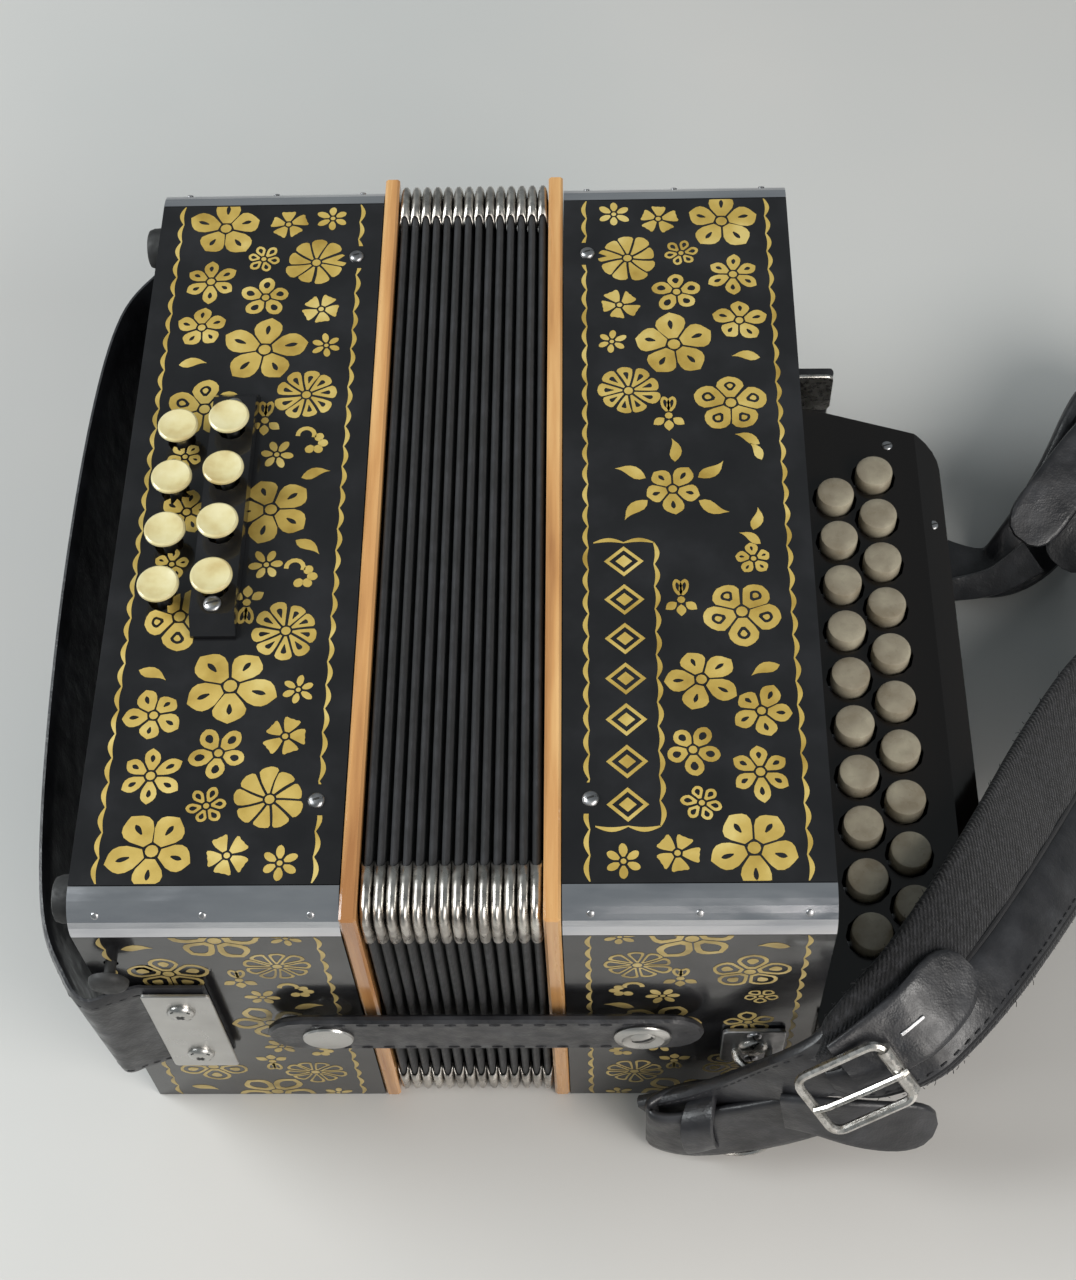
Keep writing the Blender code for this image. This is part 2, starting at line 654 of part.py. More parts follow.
def build_fingerboard():
    """The fingerboard: a hollow shelf on the casing's end, with a hole for every button."""
    root = HALF_WIDTH + SEAT
    edge = root + PLATE_REACH
    corner_x = edge - PLATE_CORNER
    far_y, near_y = PLATE_FAR - PLATE_SHOULDER - PLATE_CORNER, PLATE_NEAR + PLATE_SHOULDER + PLATE_CORNER
    outline = [(root, PLATE_NEAR), (root + PLATE_SHOULDER, PLATE_NEAR + 0.001)]
    outline += arc((corner_x, near_y), PLATE_CORNER, -80, 0, 5)
    outline += arc((corner_x, far_y), PLATE_CORNER, 0, 80, 5)
    outline += [(root + PLATE_SHOULDER, PLATE_FAR - 0.001), (root, PLATE_FAR)]
    board = prism("fingerboard", outline, PLATE_TOP - PLATE_BODY, PLATE_TOP, "Z")
    slope = [(PLATE_TOP + 0.002, root + PLATE_RIDGE), (PLATE_TOP, root + PLATE_RIDGE),
             (PLATE_TOP - PLATE_SLOPE_DROP, edge + 0.001), (PLATE_TOP + 0.002, edge + 0.001)]
    cut(board, prism("fingerboard_slope", slope, PLATE_NEAR - 0.01, PLATE_FAR + 0.01, "Y"))
    bottom = PLATE_TOP - PLATE_BODY
    cut(board, block("fingerboard_hollow", (root - 0.01, hollow_near(), bottom + PLATE_THICKNESS),
                     (root + PLATE_RIDGE - 0.002, hollow_far(), PLATE_TOP - PLATE_THICKNESS)))
    reach = {"outer": TREBLE_OUTER_REACH, "inner": TREBLE_INNER_REACH}
    holes = [rod("button_hole", (HALF_WIDTH + reach[row], y, PLATE_TOP - PLATE_THICKNESS - 0.001),
                 (HALF_WIDTH + reach[row], y, PLATE_TOP + 0.001), TREBLE_HOLE_RADIUS, 12)
             for row, y in treble_rows()]
    cut(board, joined("button_holes", holes), crossing=True)
    finish_part(board, "fingerboard", "fingerboard_lacquer")


# ---- air button, feet and straps

def build_air_button():
    """The thumb button for air: knob and stem outside, pallet on the wall inside."""
    face = -HALF_LENGTH
    knob_back = face - AIR_TRAVEL - 2 * SEAT
    knob_front = knob_back - 0.0035
    origin = local("bass", AIR_X, face, AIR_Z)
    knob = rod("knob", local("bass", AIR_X, knob_back, AIR_Z), local("bass", AIR_X, knob_front, AIR_Z),
               AIR_KNOB_RADIUS, 16, origin, end_radius=AIR_KNOB_RADIUS * 0.7)
    valve_face = -INNER_Y + SEAT
    width, height, depth = AIR_VALVE
    unite(knob, rod("air_stem", local("bass", AIR_X, knob_back - 0.001, AIR_Z),
                    local("bass", AIR_X, valve_face + depth / 2, AIR_Z), AIR_STEM_RADIUS, 10, origin))
    outer, middle_z = INNER_X - 2 * SEAT, AIR_Z - AIR_VALVE_DROP
    unite(knob, block("air_valve", local("bass", outer, valve_face, middle_z - height / 2),
                      local("bass", outer - width, valve_face + depth, middle_z + height / 2), origin))
    finish_part(knob, "air_button", "rubber", smooth=True)


def build_feet():
    """Two rubber feet on the bass end, which it stands on when it is put down upright."""
    for end, y in (("near", FOOT_INSET - HALF_LENGTH), ("far", HALF_LENGTH - FOOT_INSET)):
        start = local("bass", HALF_WIDTH + SEAT, y, FOOT_Z)
        foot = rod("foot", start, start - Vector((FOOT_HEIGHT, 0, 0)), FOOT_RADIUS, 16,
                   end_radius=FOOT_RADIUS * 0.88)
        finish_part(foot, "foot_" + end, "rubber", smooth=True)


def build_hand_strap():
    """The hand strap: clamped on the near and far faces and bowed out round the bass end."""
    lie = HALF_LENGTH + SEAT + HAND_STRAP_THICKNESS / 2
    end_x = HALF_WIDTH
    up = Vector((0, 0, 1))
    half = HAND_STRAP_WIDTH / 2
    start = CLAMP_X - PLATE_SIZE[0] / 2 + 0.002
    clamped = CLAMP_X + PLATE_SIZE[0] / 2 + 0.0015
    corner, shoulder = 0.004, 0.026
    outline = [(start, -lie), (clamped - 0.004, -lie), (clamped, -lie), (end_x - 0.005, -lie - 0.0022),
               (end_x + 0.003, -lie - corner),
               (end_x + 0.010, corner - lie), (end_x + 0.68 * HAND_STRAP_BOW, shoulder - lie),
               (end_x + 0.88 * HAND_STRAP_BOW, -0.5 * lie), (end_x + HAND_STRAP_BOW, 0.0),
               (end_x + 0.98 * HAND_STRAP_BOW, 0.5 * lie), (end_x + 0.80 * HAND_STRAP_BOW, lie - shoulder),
               (end_x + 0.011, lie - corner), (end_x + 0.003, lie + corner),
               (end_x - 0.005, lie + 0.0022), (clamped, lie), (clamped - 0.004, lie), (start, lie)]
    stations = []
    for x, y in outline:
        lean = HAND_STRAP_LEAN * max(0.0, x - end_x) / HAND_STRAP_BOW / half
        stations.append((local("bass", x, y, HAND_STRAP_MIDDLE), up + Vector((lean, 0, 0)), half,
                         HAND_STRAP_THICKNESS))
    strap = band("hand_strap", smooth_path(stations, 3), local("bass", end_x, 0, HAND_STRAP_MIDDLE))
    finish_part(strap, "hand_strap", "strap_leather")


def build_clamp_plates():
    """The nickel plates that clamp the hand strap's ends, each with its two screw heads."""
    width, height = PLATE_SIZE
    for end, sign in (("near", -1), ("far", 1)):
        inner = sign * (HALF_LENGTH + 2 * SEAT + HAND_STRAP_THICKNESS)
        outer = inner + sign * CLAMP_THICKNESS
        plate = block("clamp", local("bass", CLAMP_X - width / 2, inner, HAND_STRAP_MIDDLE - height / 2),
                      local("bass", CLAMP_X + width / 2, outer, HAND_STRAP_MIDDLE + height / 2))
        round_edges(plate, 0.0004)
        for spot, z in (("upper", HAND_STRAP_MIDDLE + 0.018), ("lower", HAND_STRAP_MIDDLE - 0.018)):
            head = rod(f"clamp_{end}_{spot}", local("bass", CLAMP_X, inner + sign * 0.0004, z),
                       local("bass", CLAMP_X, outer + sign * SCREW_HEIGHT, z), SCREW_RADIUS, 12,
                       end_radius=SCREW_RADIUS * 0.6)
            unite(plate, head)
        finish_part(plate, "hand_strap_plate_" + end, "nickel")


def build_bellows_straps():
    """The leather straps that keep the bellows shut: pivot screw on the treble, snap on the bass."""
    for end, sign in (("near", -1), ("far", 1)):
        back = sign * (HALF_LENGTH + BELLOWS_STRAP_OFF)
        front = back + sign * BELLOWS_STRAP_THICKNESS
        pivot = local("treble", BELLOWS_STRAP_PIVOT, sign * HALF_LENGTH, BELLOWS_STRAP_Z)
        snap = pivot - Vector((BELLOWS_STRAP_SPAN, 0, 0))
        half = BELLOWS_STRAP_WIDTH / 2
        reach = BELLOWS_STRAP_END - half
        right = arc((pivot.z, pivot.x + reach), half, 180, 0, 8)
        left = arc((snap.z, snap.x - reach), half, 0, -180, 8)
        points = right + left
        strap = prism("strap", points, back, front, "Y", origin=pivot)
        face = sign * (HALF_LENGTH + SEAT)
        for spot, place, radius in (("washer", pivot, WASHER_RADIUS), ("snap", snap, SNAP_RADIUS)):
            button = rod(f"{end}_{spot}", (place.x, face if spot == "washer" else back + sign * 0.0005, place.z),
                         (place.x, front + sign * 0.002, place.z), radius, 14, pivot, end_radius=radius * 0.8)
            unite(strap, button)
        finish_part(strap, "bellows_strap_" + end, "strap_leather")


def shoulder_strap_stations():
    """Stations of the shoulder strap, from the near bracket round to the far one.

    x is measured from the casing's end, near y from the near face and far y from the far face.
    """
    near, far, end = -HALF_LENGTH, HALF_LENGTH, HALF_WIDTH
    thin, padded = 0.004, 0.009
    table = padded / 2
    rows = [
        # x, y, z, across, half width, thickness
        (end - 0.050, near - 0.0125, 0.018, (-0.30, 0.05, 0.95), 0.0120, thin),
        (end - 0.032, near - 0.0135, 0.030, (-0.40, 0.10, 0.90), 0.0125, thin),
        (end - 0.018, near - 0.0150, 0.047, (-0.40, 0.18, 0.90), 0.0120, thin),
        (end - 0.005, near - 0.0165, 0.066, (-0.38, 0.26, 0.89), 0.0125, 0.006),
        (end + 0.008, near - 0.0148, 0.074, (-0.44, 0.44, 0.78), 0.0165, padded),
        (end + 0.021, near - 0.0092, 0.081, (-0.50, 0.65, 0.57), 0.0195, padded),
        (end + 0.032, near - 0.0006, 0.0855, (-0.45, 0.76, 0.46), 0.0205, padded),
        (end + 0.048, near + 0.0188, 0.0845, (-0.52, 0.75, 0.40), 0.0220, padded),
        (end + 0.067, near + 0.0469, 0.073, (-0.49, 0.79, 0.38), 0.0240, padded),
        (end + 0.088, near + 0.0808, 0.056, (-0.49, 0.80, 0.34), 0.0255, padded),
        (end + 0.109, near + 0.1165, 0.040, (-0.48, 0.65, 0.60), 0.0270, padded),
        (end + 0.127, near + 0.1480, 0.0315, (-0.30, 0.20, 0.93), 0.0280, padded),
        (end + 0.144, near + 0.1800, 0.0290, (0.0, 0.0, 1.0), 0.0280, padded),
        (end + 0.162, near + 0.2110, 0.0290, (0.0, 0.0, 1.0), 0.0280, padded),
        (end + 0.176, far - 0.0450, 0.0290, (0.0, 0.0, 1.0), 0.0280, padded),
        (end + 0.181, far - 0.0210, 0.0290, (0.0, 0.0, 1.0), 0.0280, padded),
        (end + 0.168, far - 0.0030, 0.0290, (0.0, 0.0, 1.0), 0.0280, padded),
        (end + 0.147, far - 0.0030, 0.0285, (0.0, 0.0, 1.0), 0.0275, padded),
        (end + 0.131, far - 0.0210, 0.0255, (-0.3, 0.2, 0.9), 0.0230, 0.007),
        (end + 0.118, far - 0.0460, 0.0200, (-0.5, 0.4, 0.7), 0.0175, 0.005),
        (end + 0.103, far - 0.0670, 0.0120, (-0.5, 0.6, 0.5), 0.0140, thin),
        (end + 0.088, far - 0.0760, 0.0055, (-0.1, 0.95, 0.2), 0.0110, thin),
        (end + 0.072, far - 0.0710, 0.0028, (0.3, 0.95, 0.0), 0.0100, thin),
        (end + 0.048, far - 0.0560, 0.0028, (0.5, 0.85, 0.0), 0.0100, thin),
        (end + 0.024, far - 0.0400, 0.0070, (0.8, 0.6, 0.0), 0.0095, thin),
        (end + 0.0125, far - 0.0340, 0.0300, (1.0, 0.1, 0.0), 0.0095, thin),
        (end + 0.0120, far - 0.0340, 0.0780, (1.0, 0.0, 0.0), 0.0095, thin),
    ]
    return [(Vector((x, y, z)), Vector(across), half, thick) for x, y, z, across, half, thick in rows]


def build_shoulder_strap():
    """The padded shoulder strap, lying slack as one closed loop of leather."""
    stations = smooth_path(shoulder_strap_stations(), 3)
    strap = band("shoulder_strap", stations, (HALF_WIDTH, -HALF_LENGTH, 0))
    finish_part(strap, "shoulder_strap", "strap_leather")


def build_strap_brackets():
    """The brackets that hold the shoulder strap's ends, and the roller buckle on the near end."""
    near = -HALF_LENGTH - SEAT
    x, z = HALF_WIDTH - 0.019, 0.050
    bracket = block("bracket", (x - 0.010, near, z - 0.013), (x + 0.010, near - BRACKET_THICKNESS, z + 0.013))
    strap_back = -HALF_LENGTH - 0.0105
    unite(bracket, block("staple", (x - 0.006, near - BRACKET_THICKNESS / 2, z - 0.006),
                         (x + 0.006, strap_back, z + 0.001)))
    finish_part(bracket, "strap_bracket_near", "nickel")

    end = HALF_WIDTH + SEAT
    y = HALF_LENGTH - 0.034 - 0.002 - SEAT
    plate = block("bracket", (end, y + 0.006, 0.052), (end + BRACKET_THICKNESS, y - 0.0065, 0.086))
    lug = 0.0015
    unite(plate, block("lug", (end + BRACKET_THICKNESS / 2, y - lug, 0.060), (end + 0.021, y, 0.080)))
    finish_part(plate, "strap_bracket_far", "nickel")


def build_buckle():
    """The roller buckle, a rectangular wire frame lying on the strap's outer side."""
    wire, length, height = 0.003, 0.034, 0.030
    lift = 0.0030
    stations = shoulder_strap_stations()
    before, at, after = stations[BUCKLE_STATION - 1:BUCKLE_STATION + 2]
    along = (after[0] - before[0]).normalized()
    across = (at[1] - along * at[1].dot(along)).normalized()
    outward = across.cross(along)
    outward *= math.copysign(1.0, -outward.y)
    place = Matrix.Identity(4)
    for column, axis in enumerate((along, across, outward)):
        place.col[column][:3] = axis
    place.translation = at[0] + outward * (at[3] / 2 + wire / 2 + lift) - across * BUCKLE_DROP
    half = Vector((length / 2, height / 2, wire / 2))
    inner = half - Vector((wire, wire, -0.001))
    buckle = block("buckle", -half, half)
    window = block("buckle_window", -inner, inner)
    for piece in (buckle, window):
        piece.matrix_world = place
    round_edges(buckle, 0.0006)
    cut(buckle, window)
    finish_part(buckle, "strap_buckle_near", "nickel")


def build():
    clear_scene()
    build_treble_case()
    build_bass_case()
    build_covers()
    for side in ("treble", "bass"):
        build_trims(side)
        build_soundboard(side)
        build_reed_block(side)
    build_bellows_frames()
    build_bellows()
    build_axles()
    build_fingerboard()
    build_treble_keys()
    build_button_rail()
    build_bass_keys()
    build_air_button()
    build_feet()
    build_hand_strap()
    build_clamp_plates()
    build_bellows_straps()
    build_shoulder_strap()
    build_strap_brackets()
    build_buckle()


build()
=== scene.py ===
"""Looks for the button accordion: materials, printed celluloid, bellows, keys, straps and fittings."""

import json
import math
import random

import bpy
from mathutils import Matrix, Vector


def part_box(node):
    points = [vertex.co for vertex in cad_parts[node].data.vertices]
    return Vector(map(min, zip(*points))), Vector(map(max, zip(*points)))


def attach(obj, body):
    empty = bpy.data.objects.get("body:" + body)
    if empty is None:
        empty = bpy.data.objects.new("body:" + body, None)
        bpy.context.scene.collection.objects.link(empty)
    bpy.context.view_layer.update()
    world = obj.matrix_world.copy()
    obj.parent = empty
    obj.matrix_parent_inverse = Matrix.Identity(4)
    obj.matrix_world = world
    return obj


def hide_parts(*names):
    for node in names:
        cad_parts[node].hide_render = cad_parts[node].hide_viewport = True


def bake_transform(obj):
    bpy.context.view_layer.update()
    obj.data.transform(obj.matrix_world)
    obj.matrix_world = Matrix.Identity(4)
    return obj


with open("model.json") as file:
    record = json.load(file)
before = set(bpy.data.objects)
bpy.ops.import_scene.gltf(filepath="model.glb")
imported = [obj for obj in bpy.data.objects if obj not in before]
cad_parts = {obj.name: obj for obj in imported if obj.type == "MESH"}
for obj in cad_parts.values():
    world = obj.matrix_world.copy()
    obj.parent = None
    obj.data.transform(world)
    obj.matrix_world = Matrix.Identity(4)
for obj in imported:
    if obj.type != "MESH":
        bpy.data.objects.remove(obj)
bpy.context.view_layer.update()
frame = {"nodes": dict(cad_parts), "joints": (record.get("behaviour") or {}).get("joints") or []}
NODES = frame["nodes"]
JOINTS = {joint["child"]: joint for joint in frame["joints"]}
rng = random.Random(7)

# ---- sizes taken from the frame
CASE = {side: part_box(side + "_case") for side in ("treble", "bass")}
COVER = {side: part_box(side + "_front_cover") for side in ("treble", "bass")}
OUTWARD = {"treble": 1, "bass": -1}
MIDDLE = {side: (CASE[side][0].x + CASE[side][1].x) / 2 for side in CASE}
HALF_WIDTH = (CASE["treble"][1].x - CASE["treble"][0].x) / 2
HALF_LENGTH = CASE["treble"][1].y
TOP = COVER["treble"][1].z
COVER_Y = COVER["treble"][1].y
END = CASE["treble"][1].x
TRIM_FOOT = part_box("treble_trim_near")[0].z
BOARD_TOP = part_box("fingerboard")[1].z


def local(side, x, y=0.0, z=0.0):
    """A point in a casing's own frame, outward from its middle along X."""
    return Vector((MIDDLE[side] + OUTWARD[side] * x, y, z))


# ---- materials

def ramp(nodes, links, source, colours):
    """Colours spread evenly over a 0 to 1 value."""
    node = nodes.new("ShaderNodeValToRGB")
    elements = node.color_ramp.elements
    while len(elements) < len(colours):
        elements.new(0.5)
    for i, (element, colour) in enumerate(zip(elements, colours)):
        element.position = 0.30 + 0.40 * i / max(1, len(colours) - 1)
        element.color = (*colour, 1.0)
    links.new(source, node.inputs[0])
    return node.outputs[0]


TEXTURES = {"noise": ("ShaderNodeTexNoise", "Fac"), "cells": ("ShaderNodeTexVoronoi", "Distance"),
            "ribs": ("ShaderNodeTexWave", "Fac")}


def texture(nodes, links, vector, kind, scale, detail=3.0, stretch=(1, 1, 1), turn=0.0):
    """A noise, cell or rib texture in metres, and the value it gives."""
    mapping = nodes.new("ShaderNodeMapping")
    mapping.inputs["Scale"].default_value = stretch
    mapping.inputs["Rotation"].default_value = (0, 0, turn)
    links.new(vector, mapping.inputs["Vector"])
    kind_of_node, value = TEXTURES[kind]
    node = nodes.new(kind_of_node)
    node.inputs["Scale"].default_value = scale
    if kind != "cells":
        node.inputs["Detail"].default_value = detail
    if kind == "ribs":
        node.inputs["Distortion"].default_value = 0.6
    links.new(mapping.outputs[0], node.inputs["Vector"])
    return node.outputs[value]


def material(name, colours, rough, metallic=0.0, patches=60.0, detail=4.0, stretch=(1, 1, 1), grain=(),
             coat=0.0, sheen=0.0, coords="Object"):
    """A Principled material: blotched colours, a varying roughness, and bump from a few grains.

    colours go from dark to light; rough is (low, high); each grain is (kind, scale in 1/m, depth in
    metres), and may also have a stretch and a turn.
    """
    result = bpy.data.materials.new(name)
    result.use_nodes = True
    nodes, links = result.node_tree.nodes, result.node_tree.links
    shader = nodes["Principled BSDF"]
    place = nodes.new("ShaderNodeTexCoord").outputs[coords]
    blotches = texture(nodes, links, place, "noise", patches, detail, stretch)
    links.new(ramp(nodes, links, blotches, colours), shader.inputs["Base Color"])
    smears = texture(nodes, links, place, "noise", patches * 2.3, 5.0, stretch)
    spread = nodes.new("ShaderNodeMapRange")
    spread.inputs["From Min"].default_value = 0.35
    spread.inputs["From Max"].default_value = 0.65
    spread.inputs["To Min"].default_value = rough[0]
    spread.inputs["To Max"].default_value = rough[1]
    links.new(smears, spread.inputs["Value"])
    links.new(spread.outputs[0], shader.inputs["Roughness"])
    shader.inputs["Metallic"].default_value = metallic
    shader.inputs["Coat Weight"].default_value = coat
    shader.inputs["Coat Roughness"].default_value = 0.08
    shader.inputs["Sheen Weight"].default_value = sheen
    shader.inputs["Sheen Roughness"].default_value = 0.5
    normal = None
    for kind, scale, depth, *pull in grain:
        height = texture(nodes, links, place, kind, scale, 3.0, *pull)
        bump = nodes.new("ShaderNodeBump")
        bump.inputs["Strength"].default_value = 1.0
        bump.inputs["Distance"].default_value = depth
        links.new(height, bump.inputs["Height"])
        if normal is not None:
            links.new(normal, bump.inputs["Normal"])
        normal = bump.outputs["Normal"]
    if grain:
        links.new(normal, shader.inputs["Normal"])
    return result


ANY = (1, 1, 1)
ALONG_X = (0.04, 1, 1)
ALONG_Y = (1, 0.04, 1)
celluloid = material("black_celluloid_look", [(0.006, 0.006, 0.007), (0.009, 0.009, 0.010), (0.016, 0.016, 0.018)],
                     (0.12, 0.24), patches=45, coat=0.35,
                     grain=[("noise", 60, 0.00012), ("noise", 900, 0.00002, (1, 0.05, 1), 0.6)])
lacquer = material("fingerboard_look", [(0.004, 0.003, 0.003), (0.007, 0.005, 0.004), (0.014, 0.008, 0.006)],
                   (0.14, 0.26), patches=30, stretch=ALONG_Y,
                   grain=[("noise", 60, 0.00015, ALONG_Y), ("noise", 1200, 0.00002, (1, 0.05, 1), 0.3)])
gold = material("gold_print_look", [(0.40, 0.26, 0.05), (0.53, 0.37, 0.085), (0.62, 0.45, 0.12), (0.74, 0.58, 0.20)],
                (0.32, 0.50), metallic=0.25, patches=70, detail=6)
gold_old = material("gold_print_side_look", [(0.30, 0.22, 0.08), (0.48, 0.36, 0.13), (0.62, 0.48, 0.20)],
                    (0.34, 0.5), metallic=0.2, patches=90, detail=6)
chrome = material("chrome_look", [(0.55, 0.56, 0.60), (0.72, 0.72, 0.75), (0.82, 0.82, 0.84)], (0.10, 0.24),
                  metallic=1.0, patches=70, stretch=(0.3, 1, 1),
                  grain=[("noise", 120, 0.00012, (0.3, 1, 1)), ("noise", 2500, 0.00001, ALONG_X)])
nickel = material("nickel_look", [(0.36, 0.34, 0.31), (0.58, 0.56, 0.53), (0.70, 0.68, 0.65)], (0.20, 0.38),
                  metallic=1.0, patches=220, detail=6, grain=[("noise", 2400, 0.00002, (1, 1, 0.1))])
satin = material("satin_plate_look", [(0.44, 0.43, 0.41), (0.54, 0.53, 0.51), (0.62, 0.61, 0.59)], (0.26, 0.38),
                 metallic=1.0, patches=35, detail=5, grain=[("noise", 60, 0.00012)])
guard = material("bellows_corner_look", [(0.30, 0.28, 0.26), (0.56, 0.53, 0.49), (0.74, 0.71, 0.66)], (0.22, 0.42),
                 metallic=1.0, patches=160, detail=6, grain=[("noise", 1800, 0.00003)])
wood = material("frame_wood_look", [(0.36, 0.16, 0.055), (0.58, 0.30, 0.11), (0.76, 0.47, 0.20)], (0.18, 0.32),
                patches=180, stretch=(1, 0.06, 0.06), coat=0.5,
                grain=[("noise", 1600, 0.00006, (1, 0.04, 0.04))])
spruce = material("spruce_look", [(0.42, 0.27, 0.13), (0.60, 0.43, 0.24), (0.70, 0.54, 0.33)], (0.5, 0.7),
                  patches=260, stretch=ALONG_Y, grain=[("noise", 1400, 0.00008, ALONG_Y)])
cloth = material("bellows_cloth_look", [(0.006, 0.006, 0.007), (0.011, 0.011, 0.013), (0.022, 0.022, 0.026)],
                 (0.55, 0.80), patches=120, sheen=0.12,
                 grain=[("ribs", 900, 0.00006), ("ribs", 900, 0.00006, ANY, 1.5708),
                        ("noise", 300, 0.0002)])
leather = material("leather_look", [(0.010, 0.010, 0.012), (0.021, 0.021, 0.024), (0.040, 0.041, 0.046)],
                   (0.30, 0.52), patches=70, detail=6, coat=0.12,
                   grain=[("cells", 1300, 0.00005), ("noise", 90, 0.0007)])
lining = material("lining_look", [(0.006, 0.006, 0.007), (0.013, 0.013, 0.015), (0.030, 0.030, 0.034)],
                  (0.82, 0.96), patches=420, detail=7, sheen=0.16, coords="UV",
                  grain=[("ribs", 260, 0.0002, ANY, 0.85), ("noise", 1400, 0.0006)])
thread = material("thread_look", [(0.012, 0.012, 0.014), (0.028, 0.028, 0.032), (0.05, 0.05, 0.055)],
                  (0.6, 0.8), patches=600, grain=[("ribs", 2500, 0.00008, ANY, 0.7)])
ivory = material("bass_button_look", [(0.52, 0.40, 0.17), (0.66, 0.58, 0.31), (0.74, 0.68, 0.42)], (0.12, 0.26),
                 patches=90, detail=5, coat=0.35, grain=[("noise", 500, 0.00004)])
pearl = material("treble_button_look", [(0.27, 0.225, 0.155), (0.38, 0.335, 0.25), (0.50, 0.455, 0.34)], (0.22, 0.40),
                 patches=110, detail=5, coat=0.2, grain=[("noise", 700, 0.00005)])
rubber = material("rubber_look", [(0.010, 0.010, 0.010), (0.020, 0.020, 0.020), (0.032, 0.032, 0.032)],
                  (0.55, 0.75), patches=200, grain=[("noise", 2200, 0.00005)])
steel = material("steel_look", [(0.30, 0.30, 0.31), (0.45, 0.45, 0.46), (0.56, 0.56, 0.57)], (0.28, 0.45),
                 metallic=1.0, patches=200, grain=[("noise", 2000, 0.00002, ALONG_Y)])
felt = material("felt_look", [(0.10, 0.02, 0.02), (0.18, 0.04, 0.03), (0.26, 0.07, 0.05)], (0.9, 1.0),
                patches=500, sheen=0.3, grain=[("noise", 2500, 0.0002)])
table_top = material("table_look", [(0.50, 0.51, 0.50), (0.55, 0.545, 0.53), (0.60, 0.575, 0.55)], (0.30, 0.42),
                     patches=2.0, grain=[("noise", 8, 0.0003)])


# ---- making pieces

class Shape:
    """Vertices and faces gathered from simple forms, made into one piece at the end."""

    def __init__(self):
        self.verts, self.faces, self.slots = [], [], []

    def add(self, verts, faces, slot=0, place=None):
        first = len(self.verts)
        self.verts += [place @ Vector(v) if place is not None else Vector(v) for v in verts]
        self.faces += [tuple(first + i for i in face) for face in faces]
        self.slots += [slot] * len(faces)

    def loft(self, rings, slot=0, closed=True, caps=True, place=None):
        """Faces between rings of as many points each; closed rings may be capped."""
        count = len(rings[0])
        verts = [point for ring in rings for point in ring]
        faces = []
        for r in range(len(rings) - 1):
            for i in range(count if closed else count - 1):
                j = (i + 1) % count
                faces.append((r * count + i, r * count + j, (r + 1) * count + j, (r + 1) * count + i))
        if caps and closed:
            faces.append(tuple(reversed(range(count))))
            faces.append(tuple(range(len(verts) - count, len(verts))))
        self.add(verts, faces, slot, place)

    def lathe(self, profile, slot=0, place=None, segments=28):
        """A round form about Z, from (radius, height) pairs, bottom first."""
        self.loft([[(*p, height) for p in circle(max(radius, 1e-5), segments)] for radius, height in profile],
                  slot, place=place)

    def slab(self, half_u, half_v, thickness, corner, edge, slot=0, place=None):
        """A plate with rounded corners and softened edges, its back on Z = 0."""
        levels = [(0.0, edge), (edge, 0.0), (thickness - edge, 0.0), (thickness, edge)]
        self.loft([[(u, v, z) for u, v in rounded(half_u - inset, half_v - inset, corner - inset * 0.5)]
                   for z, inset in levels], slot, place=place)

    def tube(self, points, radius, slot=0, sides=8, cyclic=False):
        """A round wire along points."""
        points = [Vector(p) for p in points]
        rings = []
        reference = Vector((0.13, 0.21, 0.97))
        for i, point in enumerate(points):
            ahead = points[(i + 1) % len(points)] if cyclic else points[min(i + 1, len(points) - 1)]
            behind = points[i - 1] if cyclic or i else points[0]
            along = (ahead - behind).normalized()
            side = (reference - along * reference.dot(along)).normalized()
            up = along.cross(side)
            rings.append([point + (side * u + up * v) * radius for u, v in circle(1, sides)])
            reference = side
        if cyclic:
            rings.append(rings[0])
        self.loft(rings, slot, caps=not cyclic)

    def piece(self, name, looks, body=None, angle=40, slot=None, replaces=()):
        """The gathered form as an object that rides on a body."""
        mesh = bpy.data.meshes.new(name)
        mesh.from_pydata([tuple(v) for v in self.verts], [], self.faces)
        for look in looks:
            mesh.materials.append(look)
        mesh.polygons.foreach_set("material_index", self.slots)
        mesh.validate()
        mesh.shade_smooth()
        mesh.set_sharp_from_angle(angle=math.radians(angle))
        obj = bpy.data.objects.new(name, mesh)
        bpy.context.scene.collection.objects.link(obj)
        if body:
            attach(obj, body)
        if replaces:
            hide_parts(*replaces)
        return obj


def circle(radius, count, x=0.0, y=0.0):
    """Points evenly round a circle."""
    return [(x + radius * math.cos(a), y + radius * math.sin(a))
            for a in (2 * math.pi * k / count for k in range(count))]


def rounded(half_u, half_v, corner, steps=5):
    """A rectangle with rounded corners as a ring of points."""
    corner = max(min(corner, half_u, half_v), 0.00005)
    ring = []
    for su, sv, start in ((1, 1, 0), (-1, 1, 90), (-1, -1, 180), (1, -1, 270)):
        for k in range(steps):
            a = math.radians(start + 90 * k / (steps - 1))
            ring.append((su * (half_u - corner) + corner * math.cos(a), sv * (half_v - corner) + corner * math.sin(a)))
    return ring


def placement(axes, origin):
    """A placement with the given X, Y and Z axes at an origin."""
    place = Matrix.Identity(4)
    for column, axis in enumerate(axes):
        place.col[column][:3] = axis
    place.translation = origin
    return place


def frame_at(origin, normal, along=(0, 0, 1)):
    """A placement whose Z is the normal and whose X follows along as closely as it can."""
    z = Vector(normal).normalized()
    x = Vector(along) if abs(z.dot(Vector(along).normalized())) < 0.99 else Vector((1, 0, 0))
    x = (x - z * x.dot(z)).normalized()
    return placement((x, z.cross(x), z), origin)


